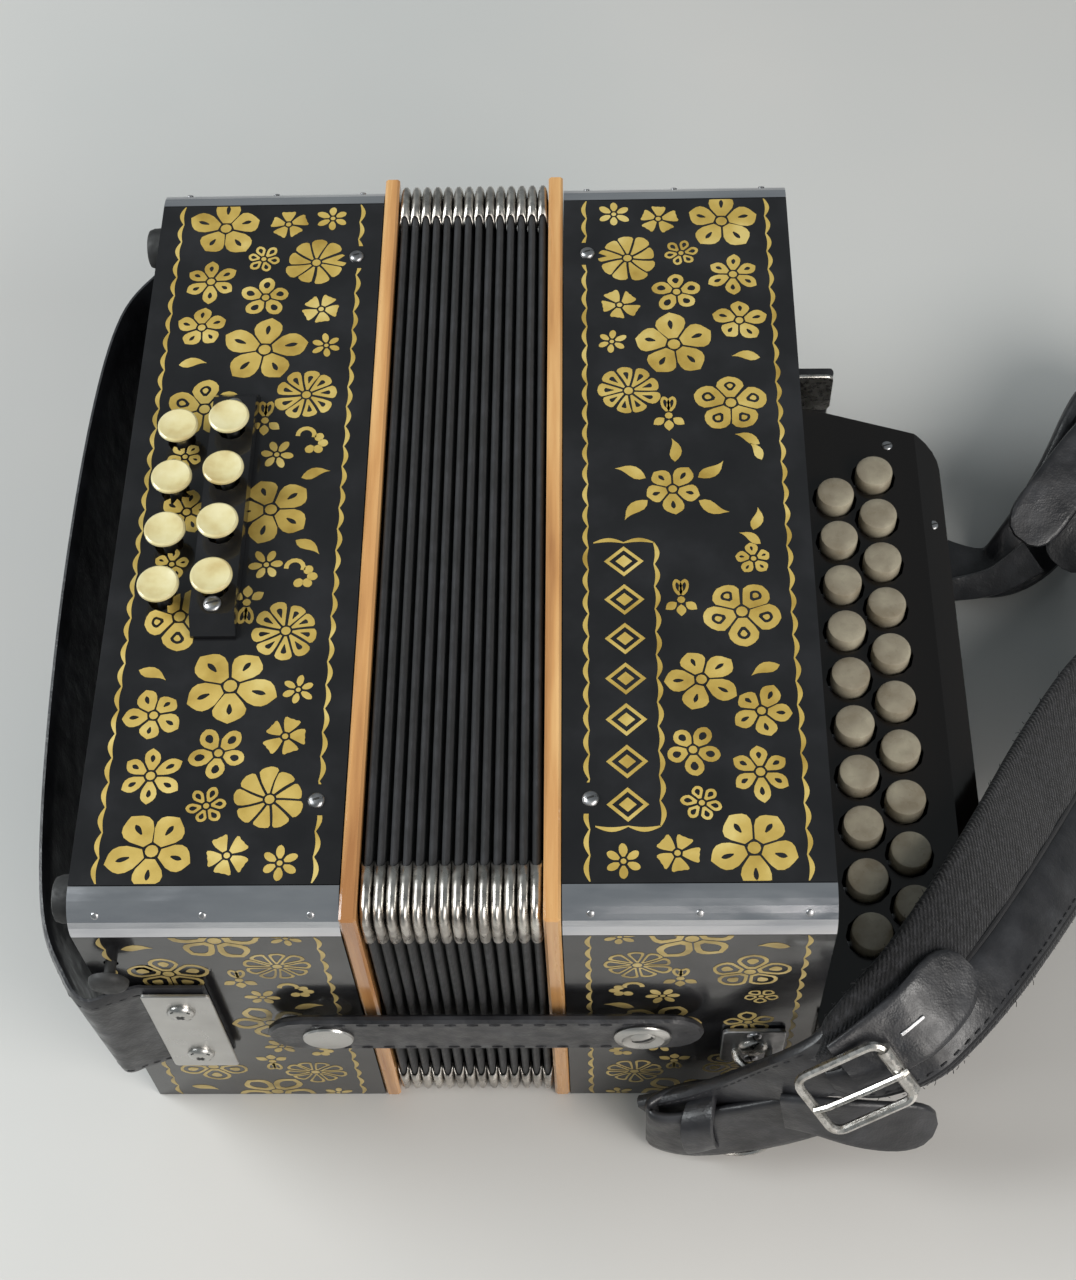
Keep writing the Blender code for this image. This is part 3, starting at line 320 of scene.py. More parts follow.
def screw(shape, origin, normal, radius, height, slot=0, turn=0.3, slot_shade_look=None, crossed=False):
    """A domed head; its driver slot is not cut, but the slot's shade is painted on as a black bar in the material slot
    given for it, and crossed heads have two.
    """
    place = frame_at(origin, normal) @ Matrix.Rotation(turn, 4, "Z")
    dome = [(radius, 0.0), (radius, height * 0.25), (radius * 0.93, height * 0.5), (radius * 0.75, height * 0.8),
            (radius * 0.45, height * 0.96), (0.0, height)]
    shape.lathe(dome, slot, place, segments=20)
    if slot_shade_look is not None:
        painted_slot_shade(shape, place, radius, height, slot_shade_look)
        if crossed:
            painted_slot_shade(shape, place @ Matrix.Rotation(math.pi / 2, 4, "Z"), radius, height, slot_shade_look)


def painted_slot_shade(shape, place, radius, height, slot):
    """Painted shade of a driver slot: a black bar lying on a domed head, where the slot's recess would fall in shade.
    """
    half, reach = radius * 0.13, radius * 0.86
    rings = []
    for k in range(9):
        u = reach * (k / 4 - 1)
        z = height * (1 - 0.75 * (u / radius) ** 2 * 0.62) + 0.00006
        rings.append([(u, -half, z - 0.0003), (u, half, z - 0.0003), (u, half, z), (u, -half, z)])
    shape.loft(rings, slot, place=place)


# ---- the gold print on the celluloid

PETAL_SHAPES = {
    # (along from core to tip, half width) shares; the neighbours' wedge trims them near the core
    "egg": ((0, 0.34), (0.16, 0.6), (0.34, 0.88), (0.54, 1), (0.71, 0.93), (0.83, 0.7), (0.92, 0.36), (1, 0.04)),
    "round": ((0, 0.34), (0.13, 0.66), (0.3, 0.93), (0.52, 1), (0.72, 0.92), (0.87, 0.66), (0.95, 0.38), (1, 0.1)),
    "fan": ((0, 0.3), (0.2, 0.5), (0.44, 0.76), (0.66, 0.95), (0.82, 1), (0.92, 0.8), (0.97, 0.46), (1, 0.1)),
    "notched": ((0, 0.3), (0.22, 0.52), (0.46, 0.76), (0.7, 0.94), (0.9, 1), (0.98, 0.8), (0.93, 0.35), (0.96, 0.1)),
    "leaf": ((0, 0), (0.12, 0.45), (0.28, 0.82), (0.45, 1), (0.62, 0.92), (0.78, 0.62), (0.9, 0.28), (1, 0)),
}
GAP = 0.00042           # half the bare line between two petals
FILM_LIFT = 0.00006     # the print's height over its face
BORDER = 0.0312         # where the wavy borders run, either way from a casing's middle
PRINT_EDGE = 0.0385     # how far the print may reach from there


def petal(shape, centre, turn, start, reach, width, form, hole=None, bend=0.0, wedge=None, lean=0.0):
    """One petal; hole is None, or (length share, width share, with a dot in it).

    wedge is the tangent of half the angle each petal may fill; lean pushes the tip to one side.
    """
    left, right = [], []
    for t, w in PETAL_SHAPES[form]:
        u = start + (reach - start) * t
        half = width * w
        if wedge is not None:
            half = max(0.0, min(half, u * wedge - GAP))
        sway = lean * width * max(0.0, (u - start) / (reach - start) - 0.5)
        left.append((u, half + sway))
        right.insert(0, (u, -half + sway))
    ring = left + right[1:]

    def placed(points):
        result = []
        for u, v in points:
            a = turn + bend * (u / reach)
            result.append((centre[0] + u * math.cos(a) - v * math.sin(a),
                           centre[1] + u * math.sin(a) + v * math.cos(a)))
        return result

    if hole is None:
        flat_face(shape, placed(ring))
        return
    long_share, wide_share, dotted = hole
    middle = start + (reach - start) * 0.55
    flat_band(shape, placed(ring), placed([(middle + (u - middle) * long_share, v * wide_share) for u, v in ring]))
    if dotted:
        flat_face(shape, placed([(middle + (u - middle) * long_share * 0.5, v * wide_share * 0.5) for u, v in ring]))


def flat_face(shape, ring):
    """A filled outline, as a fan of triangles about its middle."""
    middle = (sum(p[0] for p in ring) / len(ring), sum(p[1] for p in ring) / len(ring))
    shape.add([(*p, 0.0) for p in ring] + [(*middle, 0.0)],
              [(i, (i + 1) % len(ring), len(ring)) for i in range(len(ring))])


def flat_band(shape, outer, inner):
    """The closed band between two outlines of as many points."""
    count = len(outer)
    shape.add([(*p, 0.0) for p in outer + inner],
              [(i, (i + 1) % count, count + (i + 1) % count, count + i) for i in range(count)])


FLOWERS = {
    # petals, half width share, petal form, hole on the covers, hole on the sides, bend
    "great": (5, 0.37, "egg", (0.36, 0.17, False), (0.66, 0.58, False), 0.0),
    "slit": (5, 0.37, "egg", (0.38, 0.22, False), (0.64, 0.56, False), 0.08),
    "poppy": (5, 0.41, "round", (0.44, 0.44, True), (0.76, 0.74, True), 0.0),
    "eyes": (5, 0.34, "round", (0.42, 0.42, False), (0.68, 0.64, False), 0.05),
    "star": (5, 0.42, "notched", None, None, 0.08),
    "daisy": (6, 0.23, "round", None, None, 0.0),
    "six": (6, 0.28, "egg", (0.34, 0.30, False), (0.62, 0.56, False), 0.0),
    "sixeyes": (6, 0.30, "round", (0.50, 0.46, False), (0.66, 0.60, False), 0.0),
    "wheel": (9, 0.29, "fan", None, None, 0.16),
    "rays": (9, 0.27, "fan", (0.40, 0.34, False), (0.74, 0.62, False), 0.10),
}


def flower(shape, kind, x, y, size, turn, fine=False):
    """A flower of a named kind; fine ones have their petals drawn in outline."""
    petals, width, form, hole, side_hole, bend = FLOWERS[kind]
    radius = size / 2
    core = radius * (0.155 if petals < 9 else 0.15)
    for k in range(petals):
        reach = radius * rng.uniform(0.95, 1.14)
        petal(shape, (x, y), turn + 2 * math.pi * k / petals + rng.uniform(-0.04, 0.04), core + GAP * 1.4, reach,
              radius * width * rng.uniform(0.94, 1.05), form, side_hole if fine else hole, bend,
              math.tan(math.pi / petals), rng.uniform(-0.35, 0.35))
    flat_face(shape, circle(core, 12, x, y))


def leaf(shape, x, y, size, turn):
    """A pointed leaf whose tip swings to one side."""
    tips = ((-0.50, 0.02, 0.02), (-0.36, -0.10, 0.17), (-0.18, -0.19, 0.24), (0.02, -0.22, 0.22), (0.20, -0.17, 0.18),
            (0.36, -0.06, 0.16), (0.48, 0.08, 0.17), (0.60, 0.20, 0.21))
    ring = [(u, v) for u, v, _ in tips] + [(u, v) for u, _, v in reversed(tips[1:-1])]
    flat_face(shape, [(x + size * (u * math.cos(turn) - v * math.sin(turn)),
                       y + size * (u * math.sin(turn) + v * math.cos(turn))) for u, v in ring])


def sprig(shape, x, y, size, turn):
    """Two buds over two small leaves."""
    flat_face(shape, circle(size * 0.10, 8, x, y))
    for sway in (-0.20, 0.20):
        petal(shape, (x, y), turn + sway, size * 0.14, size * 0.62, size * 0.12, "round", (0.55, 0.4, False))
    for sway in (2.2, -2.2, math.pi):
        petal(shape, (x, y), turn + sway, size * 0.14, size * 0.48, size * 0.12, "leaf")


def curl(shape, x, y, size, turn):
    """A small flower with one petal drawn out into a hook."""
    for k in range(4):
        petal(shape, (x, y), turn + 2.1 + 1.05 * k, size * 0.12, size * 0.46, size * 0.15, "round")
    spine = [(x + size * (0.30 + 0.28 * math.cos(a)), y + size * (0.34 + 0.28 * math.sin(a)))
             for a in (math.radians(200 - 26 * k) for k in range(9))]
    ribbon(shape, spine, size * 0.075)


def strip(shape, left, right):
    """The open band between two rows of as many points."""
    count = len(left)
    shape.add([(*p, 0.0) for p in left + right], [(i, i + 1, count + i + 1, count + i) for i in range(count - 1)])


def ribbon(shape, spine, half):
    """A line of even width along a spine."""
    left, right = [], []
    for i, (x, y) in enumerate(spine):
        ax, ay = spine[min(i + 1, len(spine) - 1)]
        bx, by = spine[max(i - 1, 0)]
        length = math.hypot(ax - bx, ay - by)
        nx, ny = -(ay - by) / length, (ax - bx) / length
        left.append((x + nx * half, y + ny * half))
        right.append((x - nx * half, y - ny * half))
    strip(shape, left, right)


def wavy_line(shape, start, end, bulge):
    """A scalloped border: a chain of crescents that swell to one side."""
    start, end = Vector(start), Vector(end)
    length = (end - start).length
    along = (end - start) / length
    side = Vector((-along.y, along.x)) * bulge
    steps = 8 * max(1, round(length / 0.0082))
    outer, inner = [], []
    for k in range(steps + 1):
        swell = abs(math.sin(math.pi * k / 8))
        at = start + along * (length * k / steps)
        outer.append(at + side * (0.00012 + 0.00160 * swell))
        inner.append(at + side * (-0.00028 + 0.00052 * swell))
    strip(shape, outer, inner)


def side_borders(shape, edge):
    """The scalloped lines along both long edges of a print."""
    wavy_line(shape, (BORDER, -edge), (BORDER, edge), -1)
    wavy_line(shape, (-BORDER, -edge), (-BORDER, edge), 1)


# one quarter of the print, in millimetres from the middle of a casing: kind, outward, along, size, turn
QUARTER = (
    ("great", 16, 120.5, 25, 0.3), ("star", -6, 122, 12, 0.2), ("daisy", -21.5, 124.5, 11, 0.5),
    ("sixeyes", 1.5, 106, 11.5, 0.2), ("wheel", -17, 104, 19.5, 0.1), ("six", 19, 96, 18, 0.5),
    ("eyes", -0.5, 88.5, 16.5, 0.3), ("star", -20, 83, 12, 0.7), ("slit", 20.3, 75.5, 17, 0.2),
    ("great", -2, 65.5, 27, 0.4), ("daisy", -22.8, 67, 9.6, 0.4), ("leaf", 22.4, 60.5, 8.5, 2.9),
    ("poppy", 16, 40.5, 23, 0.3), ("rays", -17.5, 46, 19.5, 0.2), ("sprig", -4.5, 35.5, 13, 1.57),
    ("curl", -21.5, 26, 9.8, 0.0), ("daisy", -9.5, 21.5, 11, 0.1), ("leaf", -22, 14, 8.6, 2.7),
    ("slit", 20.5, 21, 11, 0.9),
)
CENTRE = (("great", -9.3, -0.3, 25, 1.2), ("slit", 17.8, -1, 16, 0.4))
# what fills the treble cover beside its panel instead
BESIDE_PANEL = (("great", 2.8, -64.5, 21, 0.7), ("sprig", -2.5, -36, 12.5, 1.57), ("leaf", 21.5, 26.0, 8.0, 2.5),
                ("leaf", 24.0, 20.5, 7.0, 1.9), ("leaf", 22.5, -6.5, 8.0, 1.2), ("leaf", 20.5, -13.0, 7.0, 2.4))
MAKERS = {"leaf": leaf, "sprig": sprig, "curl": curl}


def print_pattern(shape, keep, fine=False):
    """The whole print, mirrored about its middle; keep says which places it may fill."""
    placed = QUARTER + CENTRE + tuple((kind, x, -y, size, -turn) for kind, x, y, size, turn in QUARTER)
    draw_all(shape, [one for one in placed if keep(one[1] / 1000, one[2] / 1000, one[3] / 2000)], fine)


def draw_all(shape, placed, fine=False):
    """Draws (kind, x, y, size, turn) entries, which are in millimetres."""
    for kind, x, y, size, turn in placed:
        x, y, size = x / 1000, y / 1000, size / 1000
        if kind in MAKERS:
            MAKERS[kind](shape, x, y, size, turn)
        else:
            flower(shape, kind, x, y, size, turn, fine)


def mark_panel(shape):
    """A bare panel's wavy frame, with a plain row of lozenges in it."""
    low, high, left, right = -0.1135, -0.0145, -0.0295, -0.0105
    for start, end, bulge in (((right, low), (right, high), -1), ((left, low), (right, low), -1),
                              ((left, high), (right, high), 1)):
        wavy_line(shape, start, end, bulge)
    middle, count = (left + right) / 2, 7

    def lozenge(y, share):
        return [(middle + u * share, y + v * share)
                for u, v in ((0.0062, 0), (0, 0.0056), (-0.0062, 0), (0, -0.0056))]
    for k in range(count):
        y = low + (high - low) * (k + 0.5) / count
        flat_band(shape, lozenge(y, 1.0), lozenge(y, 0.74))
        flat_face(shape, lozenge(y, 0.42))


def leafy_spray(shape, x, y):
    """A plain blossom between leaves."""
    flower(shape, "slit", x, y, 0.018, 0.9)
    for dx, dy, turn, size in ((0.0125, 0.0065, 0.5, 0.0095), (0.0120, -0.0075, -0.6, 0.0095),
                               (-0.0125, 0.0070, 2.6, 0.0095), (-0.0120, -0.0070, -2.5, 0.0095),
                               (0.0015, 0.0150, 1.5, 0.0085)):
        leaf(shape, x + dx, y + dy, size, turn)


def trimmed(shape, edge, holes=()):
    """Keeps a flat print on its face and off the holes."""
    for v in shape.verts:
        v.x = min(max(v.x, -PRINT_EDGE), PRINT_EDGE)
        v.y = min(max(v.y, -edge), edge)
    kept = [(face, slot) for face, slot in zip(shape.faces, shape.slots)
            if not any((shape.verts[i].xy - Vector(centre)).length < radius
                       for centre, radius in holes for i in face)
            and face_area(shape, face) > 1e-10]
    shape.faces = [face for face, _ in kept]
    shape.slots = [slot for _, slot in kept]


def face_area(shape, face):
    """The area of a flat face, by the shoelace sum."""
    points = [shape.verts[i] for i in face]
    return abs(sum(a.x * b.y - b.x * a.y for a, b in zip(points, points[1:] + points[:1]))) / 2


def finish_print(shape, side, place, name, look):
    """Lays a flat print on its face, just proud of it, as a thin film."""
    for i, v in enumerate(shape.verts):
        shape.verts[i] = place(v.x, v.y)
    used = sorted({i for face in shape.faces for i in face})
    renumber = {old: new for new, old in enumerate(used)}
    shape.verts = [shape.verts[i] for i in used]
    shape.faces = [tuple(renumber[i] for i in face) for face in shape.faces]
    obj = shape.piece(name, [look], side)
    obj.data.shade_flat()
    film = obj.modifiers.new("film", "SOLIDIFY")
    film.thickness = 0.00005
    film.offset = 0.0


STEM_HOLES = []                 # (side, outward, along) of each bass button's stem
PIN_ROWS = (-0.1045, 0.1065)    # where the bellows pins stand along each casing


def cover_print(side):
    """The print on a front cover, with the panel and the spray on the treble one."""
    shape = Shape()

    def keep(x, y, radius):
        in_panel = x - radius < -0.0095 and -0.117 < y < -0.011
        in_spray = -0.027 < x < 0.021 and -0.012 < y < 0.030
        return side == "bass" or not (in_panel or in_spray)
    print_pattern(shape, keep)
    edge = COVER_Y - 0.0004
    side_borders(shape, edge)
    if side == "treble":
        draw_all(shape, BESIDE_PANEL)
        mark_panel(shape)
        leafy_spray(shape, -0.004, 0.006)
    trimmed(shape, edge, [((x, y), 0.0030) for s, x, y in STEM_HOLES if s == side] +
            [((-0.0316, y), 0.0046) for y in PIN_ROWS])
    finish_print(shape, side, lambda x, y: local(side, x, y, TOP + FILM_LIFT), side + "_cover_print", gold)


def face_print(side, end, sign):
    """The same print on a casing's near or far face, centred on the face's middle."""
    shape = Shape()
    half = TRIM_FOOT / 2
    print_pattern(shape, lambda x, y, radius: abs(y) < half + radius * 0.8, fine=True)
    edge = half - 0.0006
    side_borders(shape, edge)
    trimmed(shape, edge)
    finish_print(shape, side, lambda x, y: local(side, x, sign * (HALF_LENGTH + FILM_LIFT), y + half),
                 f"{side}_{end}_print", gold_old)


# ---- keys

def key_button(shape, centre, radius):
    """A treble button: a turned cylinder with a softened, slightly domed top."""
    x, y, top = centre
    bottom = top - 0.0075
    shape.lathe([(radius * 0.96, bottom), (radius, bottom + 0.0004), (radius, top - 0.0011),
                 (radius * 0.96, top - 0.0005), (radius * 0.86, top - 0.0002), (radius * 0.5, top - 0.00009),
                 (0.0, top)], 0, Matrix.Translation((x, y, 0)), segments=32)


def mushroom(shape, centre, radius):
    """A bass button: a dished mushroom cap on its stem."""
    x, y, top = centre
    height = 0.0032
    shape.lathe([(0.0024, top - height - 0.001), (0.0030, top - height), (radius * 0.72, top - height * 0.80),
                 (radius * 0.93, top - height * 0.55), (radius, top - height * 0.32), (radius * 0.985, top - 0.0004),
                 (radius * 0.90, top), (radius * 0.72, top - 0.0003), (radius * 0.4, top - 0.0007),
                 (0.0, top - 0.0008)], 0, Matrix.Translation((x, y, 0)), segments=36)


def bar(shape, low, high, slot):
    """A lever or a block with softened edges, between two corners."""
    low, high = Vector(low), Vector(high)
    middle, half = (low + high) / 2, (high - low) / 2
    shape.slab(half.x, half.y, half.z * 2, 0.0004, 0.0003, slot,
               Matrix.Translation((middle.x, middle.y, low.z)))


def build_key(node, side, button_y, radius):
    """One whole key in place of its CAD node: button, stem, lever, boss and felted pallet.

    Its slots are 0 button, 1 steel, 2 pallet wood, 3 felt.
    """
    low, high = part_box(node)
    pivot = Vector(JOINTS[node]["pos_m"])
    out = OUTWARD[side]
    shape = Shape()
    if side == "treble":
        button_x = high.x - 0.975 * radius
        key_button(shape, (button_x, button_y, high.z), radius)
        stem_top, stem_radius, length = high.z - 0.006, 0.0023, 0.014
        looks = [pearl, steel, spruce, felt]
    else:
        button_x = low.x + 0.99 * radius
        mushroom(shape, (button_x, button_y, high.z), radius)
        stem_top, stem_radius, length = high.z - 0.003, 0.0022, 0.008
        looks = [ivory, steel, spruce, felt]
        STEM_HOLES.append((side, out * (button_x - MIDDLE[side]), button_y))
    shape.lathe([(stem_radius, pivot.z - 0.0015), (stem_radius, stem_top)], 1,
                Matrix.Translation((button_x, button_y, 0)), segments=16)
    pallet_x = low.x if out > 0 else high.x
    lever_half, lever_end = 0.00125, pallet_x + out * 0.001
    bar(shape, (min(lever_end, button_x), pivot.y - lever_half, pivot.z - 0.002),
        (max(lever_end, button_x), pivot.y + lever_half, pivot.z + 0.002), 1)
    if abs(button_y - pivot.y) > 0.001:
        bar(shape, (button_x - 0.0022, min(pivot.y, button_y), pivot.z - 0.002),
            (button_x + 0.0022, max(pivot.y, button_y) + 0.001, pivot.z + 0.0018), 1)
    boss = frame_at((pivot.x, pivot.y - 0.0018, pivot.z), (0, 1, 0))
    shape.lathe([(0.0022, 0.0), (0.0031, 0.0003), (0.0031, 0.0033), (0.0022, 0.0036)], 1, boss, segments=16)
    start, end = sorted((pallet_x, pallet_x + out * length))
    for inset, half, bottom, top, slot in ((0, 0.0039, low.z, low.z + 0.0012, 3),
                                           (0, 0.0039, low.z + 0.0012, low.z + 0.0035, 2),
                                           (0.002, 0.0025, low.z + 0.003, pivot.z, 2)):
        bar(shape, (start + inset, pivot.y - half, bottom), (end - inset, pivot.y + half, top), slot)
    shape.piece(node + "_look", looks, node, slot=side + "_button", replaces=(node,))


def build_keys():
    """All the keys; the bass buttons stand to both sides of their levers, in two columns."""
    for node, joint in JOINTS.items():
        if node.startswith("treble_key"):
            build_key(node, "treble", joint["pos_m"][1], 0.0067)
        elif node.startswith("bass_key"):
            outer_column = int(node[-1]) % 2 == 1
            build_key(node, "bass", joint["pos_m"][1] + (0.0046 if outer_column else -0.0046), 0.0066)


# ---- bellows

FOLDS = 14


def bellows_ring(inset):
    """The bellows' outline at one depth of fold, as (y, z) points with rounded corners."""
    return [(u, v + TOP / 2) for u, v in rounded(HALF_LENGTH - inset, TOP / 2 - inset, 0.005)]


def fold_profile():
    """(x, inset) from one frame to the other: rounded crests, tight valleys."""
    low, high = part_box("bellows")
    deep, crest = 0.0125, 0.0011
    step = (high.x - low.x) / FOLDS
    profile = [(low.x, deep)]
    for k in range(FOLDS):
        x = low.x + step * k
        profile += [(x + share * step, crest + sink) for share, sink in
                    ((0.16, 0.0036), (0.22, 0.0015), (0.32, 0.0004), (0.44, 0.0), (0.56, 0.0), (0.68, 0.0004),
                     (0.78, 0.0015), (0.84, 0.0036))]
        profile.append((x + step, deep))
    return profile


def thickened(obj, thickness):
    """Gives a bare skin its thickness."""
    skin = obj.modifiers.new("skin", "SOLIDIFY")
    skin.thickness = thickness


def build_bellows():
    """The folded cloth and the metal guards on its corners."""
    low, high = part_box("bellows")
    shape = Shape()
    shape.loft([[(x, y, z) for y, z in bellows_ring(inset)] for x, inset in fold_profile()], caps=False)
    folds = shape.piece("bellows_folds", [cloth], slot="bellows_cloth", angle=70)
    thickened(folds, 0.0006)
    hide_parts("bellows")
    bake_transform(folds)
    guards = Shape()
    step = (high.x - low.x) / FOLDS
    for sy in (-1, 1):
        for sz in (-1, 1):
            for k in range(FOLDS):
                rings = [[(low.x + step * k + share * step, y, z) for y, z in guard_path(sy, sz, 0.0005 + sink)]
                         for share, sink in ((0.10, 0.0034), (0.16, 0.0016), (0.27, 0.0005), (0.42, 0.0),
                                             (0.58, 0.0), (0.73, 0.0005), (0.84, 0.0016), (0.90, 0.0034))]
                guards.loft(rings, closed=False, caps=False)
    shells = guards.piece("bellows_corner_guards", [guard], slot="nickel", angle=60)
    thickened(shells, 0.0004)
    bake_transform(shells)


def guard_path(sy, sz, inset):
    """Round one corner of a fold, from the front or back over to the near or far side."""
    reach, corner = 0.0165, 0.0055
    outer_y, outer_z = HALF_LENGTH - inset, TOP / 2 - inset
    points = [(outer_y - reach, outer_z), (outer_y - reach * 0.6, outer_z)]
    for k in range(7):
        a = math.radians(90 - 15 * k)
        points.append((outer_y - corner + corner * math.cos(a), outer_z - corner + corner * math.sin(a)))
    points += [(outer_y, outer_z - reach * 0.6), (outer_y, outer_z - reach)]
    points = [(sy * y, TOP / 2 + sz * z) for y, z in points]
    return points if sy * sz > 0 else list(reversed(points))


# ---- straps

def smooth_path(stations, steps):
    """Catmull-Rom stations through the given tuples of vectors and numbers."""
    result, last = [], len(stations) - 1
    for i in range(last):
        around = [stations[max(i - 1, 0)], stations[i], stations[i + 1], stations[min(i + 2, last)]]
        for step in range(steps):
            t = step / steps
            weights = (-0.5 * t + t * t - 0.5 * t ** 3, 1 - 2.5 * t * t + 1.5 * t ** 3,
                       0.5 * t + 2 * t * t - 1.5 * t ** 3, -0.5 * t * t + 0.5 * t ** 3)
            mixed = []
            for values in zip(*around):
                total = values[0] * weights[0]
                for value, weight in zip(values[1:], weights[1:]):
                    total = total + value * weight
                mixed.append(total)
            result.append(tuple(mixed))
    result.append(stations[last])
    return result


def band_frames(stations):
    """(middle, side, face, half width, thickness, length so far) along a band."""
    frames, length = [], 0.0
    for i, (middle, across, half, thick) in enumerate(stations):
        ahead = stations[min(i + 1, len(stations) - 1)][0]
        behind = stations[max(i - 1, 0)][0]
        along = (ahead - behind).normalized()
        side = (across - along * across.dot(along)).normalized()
        if i:
            length += (middle - stations[i - 1][0]).length
        frames.append((middle, side, along.cross(side), half, thick, length))
    return frames


def section(share, crown):
    """Points round a strap's section as (across, out) shares, leather side first.

    share is how much of the half width stays flat; crown is how far the middle stands out.
    """
    points = []
    for out in (1, -1):
        for u in (-1.0, -0.93, -0.80, -0.5, -0.2, 0.2, 0.5, 0.80, 0.93, 1.0):
            edge = max(0.0, (abs(u) - share) / (1 - share))
            height = (1 - edge ** 2.2) ** 0.5 if edge < 1 else 0.0
            points.append((out * u, out * (0.30 + 0.70 * height * (1 - crown + crown * math.cos(u * 1.4)))))
    return points


PAD_LEATHER = range(3, 8)       # which sides of the padded section are leather


def padded_section(seam):
    """The padded strap's section: lining edge, raised leather, seam groove, wide lining, underside."""
    leather_mid = (seam - 0.86) / 2
    top = [(-1.0, 0.28), (-0.95, 0.56), (-0.885, 0.62), (-0.865, 0.84), (-0.76, 0.96), (leather_mid, 1.0),
           (seam - 0.16, 0.94), (seam - 0.045, 0.78), (seam, 0.50), (seam + 0.05, 0.70), (seam + 0.20, 0.80),
           ((seam + 1) / 2 + 0.1, 0.80), (0.90, 0.60), (0.97, 0.40), (1.0, 0.16)]
    under = [(1.0, -0.16), (0.95, -0.55), (0.75, -0.88), (0.40, -1.0), (0.0, -1.0), (-0.40, -1.0), (-0.75, -0.90),
             (-0.95, -0.58), (-1.0, -0.20)]
    return top + under


def strap_mesh(name, stations, looks, body, crown=0.2, flat=0.55, wrinkle=0.0, replaces=(), seams=None):
    """A strap with rounded edges; the leather is on the outer side, the lining on the inner.

    seams gives a padded strap's seam place at each station instead.
    """
    frames = band_frames(stations)
    outlines = [padded_section(seam) for seam in seams] if seams else [section(flat, crown)] * len(frames)
    count = len(outlines[0])
    shape = Shape()
    rings = []
    for (middle, side, face, half, thick, length), outline in zip(frames, outlines):
        ring = []
        for u, w in outline:
            ripple = wrinkle * math.sin(length * 260 + 2.1 * math.sin(length * 57)) * (1 - abs(u))
            ring.append(middle + side * (half * u) + face * (thick / 2 * w + ripple))
        rings.append(ring)
    shape.loft(rings)
    for index in range(len(shape.faces) - 2):
        k = index % count
        is_leather = k in PAD_LEATHER if seams else k < count // 2 or k == count - 1
        shape.slots[index] = 0 if is_leather else 1
    obj = shape.piece(name, looks, body, angle=50, slot="strap_leather", replaces=replaces)
    layer = obj.data.uv_layers.new(name="UVMap")
    for loop in obj.data.loops:
        ring, k = divmod(loop.vertex_index, count)
        layer.data[loop.index].uv = (frames[ring][5], outlines[ring][k][0] * frames[ring][3])
    return obj, frames


def stitches(name, frames, shares, out, body, step=0.0042):
    """Rows of thread along a strap, each stitch a small rounded grain lying on its surface."""
    shape = Shape()
    long, thin = 0.0013, 0.00035
    for share, lift in shares:
        for k in range(2, int(frames[-1][5] / step) - 2):
            at = k * step
            i = max(j for j, f in enumerate(frames) if f[5] <= at)
            a, b = frames[i], frames[min(i + 1, len(frames) - 1)]
            t = (at - a[5]) / max(b[5] - a[5], 1e-6)
            middle, side, face = (a[n].lerp(b[n], t) for n in range(3))
            half, thick = (a[n] + (b[n] - a[n]) * t for n in (3, 4))
            origin = middle + side * (half * share) + face * (out * thick / 2 * lift)
            rings = [[(u * long, *p) for p in circle(thin * radius, 6)]
                     for u, radius in ((-1, 0.15), (-0.8, 0.75), (0, 1.0), (0.8, 0.75), (1, 0.15))]
            shape.loft(rings, place=frame_at(origin, face * out, (b[0] - a[0]).normalized()))
    shape.piece(name, [thread], body, slot="strap_leather")


def hand_strap():
    """The strap for the left hand, bowed out from the bass end and clamped at both ends."""
    low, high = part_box("hand_strap")
    thick, middle_z, half = 0.003, (low.z + high.z) / 2, (high.z - low.z) / 2
    plate_low, plate_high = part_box("hand_strap_plate_near")
    lie = HALF_LENGTH + 0.0003 + thick / 2
    bow = CASE["bass"][0].x - low.x - thick / 2
    start = OUTWARD["bass"] * (plate_high.x - MIDDLE["bass"]) + 0.002
    clamped = OUTWARD["bass"] * (plate_low.x - MIDDLE["bass"]) + 0.0015
    corner, shoulder, end = 0.004, 0.026, HALF_WIDTH
    outline = [(start, -lie), (clamped - 0.004, -lie), (clamped, -lie), (end - 0.005, -lie - 0.0022),
               (end + 0.003, -lie - corner), (end + 0.010, corner - lie), (end + 0.68 * bow, shoulder - lie),
               (end + 0.88 * bow, -0.5 * lie), (end + bow, 0.0), (end + 0.98 * bow, 0.5 * lie),
               (end + 0.80 * bow, lie - shoulder), (end + 0.011, lie - corner), (end + 0.003, lie + corner),
               (end - 0.005, lie + 0.0022), (clamped, lie), (clamped - 0.004, lie), (start, lie)]
    stations = []
    for x, y in outline:
        lean = 0.23 * max(0.0, x - end) / bow
        stations.append((local("bass", x - lean * half * 0.9, y, middle_z), Vector((-lean, 0, 1)), half, thick))
    _, frames = strap_mesh("hand_strap_leather", smooth_path(stations, 8), [leather, leather], "bass", crown=0.12,
                           flat=0.9, wrinkle=0.0002, replaces=("hand_strap",))
    outside = 1 if frames[len(frames) // 2][2].x < 0 else -1
    stitches("hand_strap_stitching", frames, ((0.88, 0.86), (-0.88, 0.86)), outside, "bass")


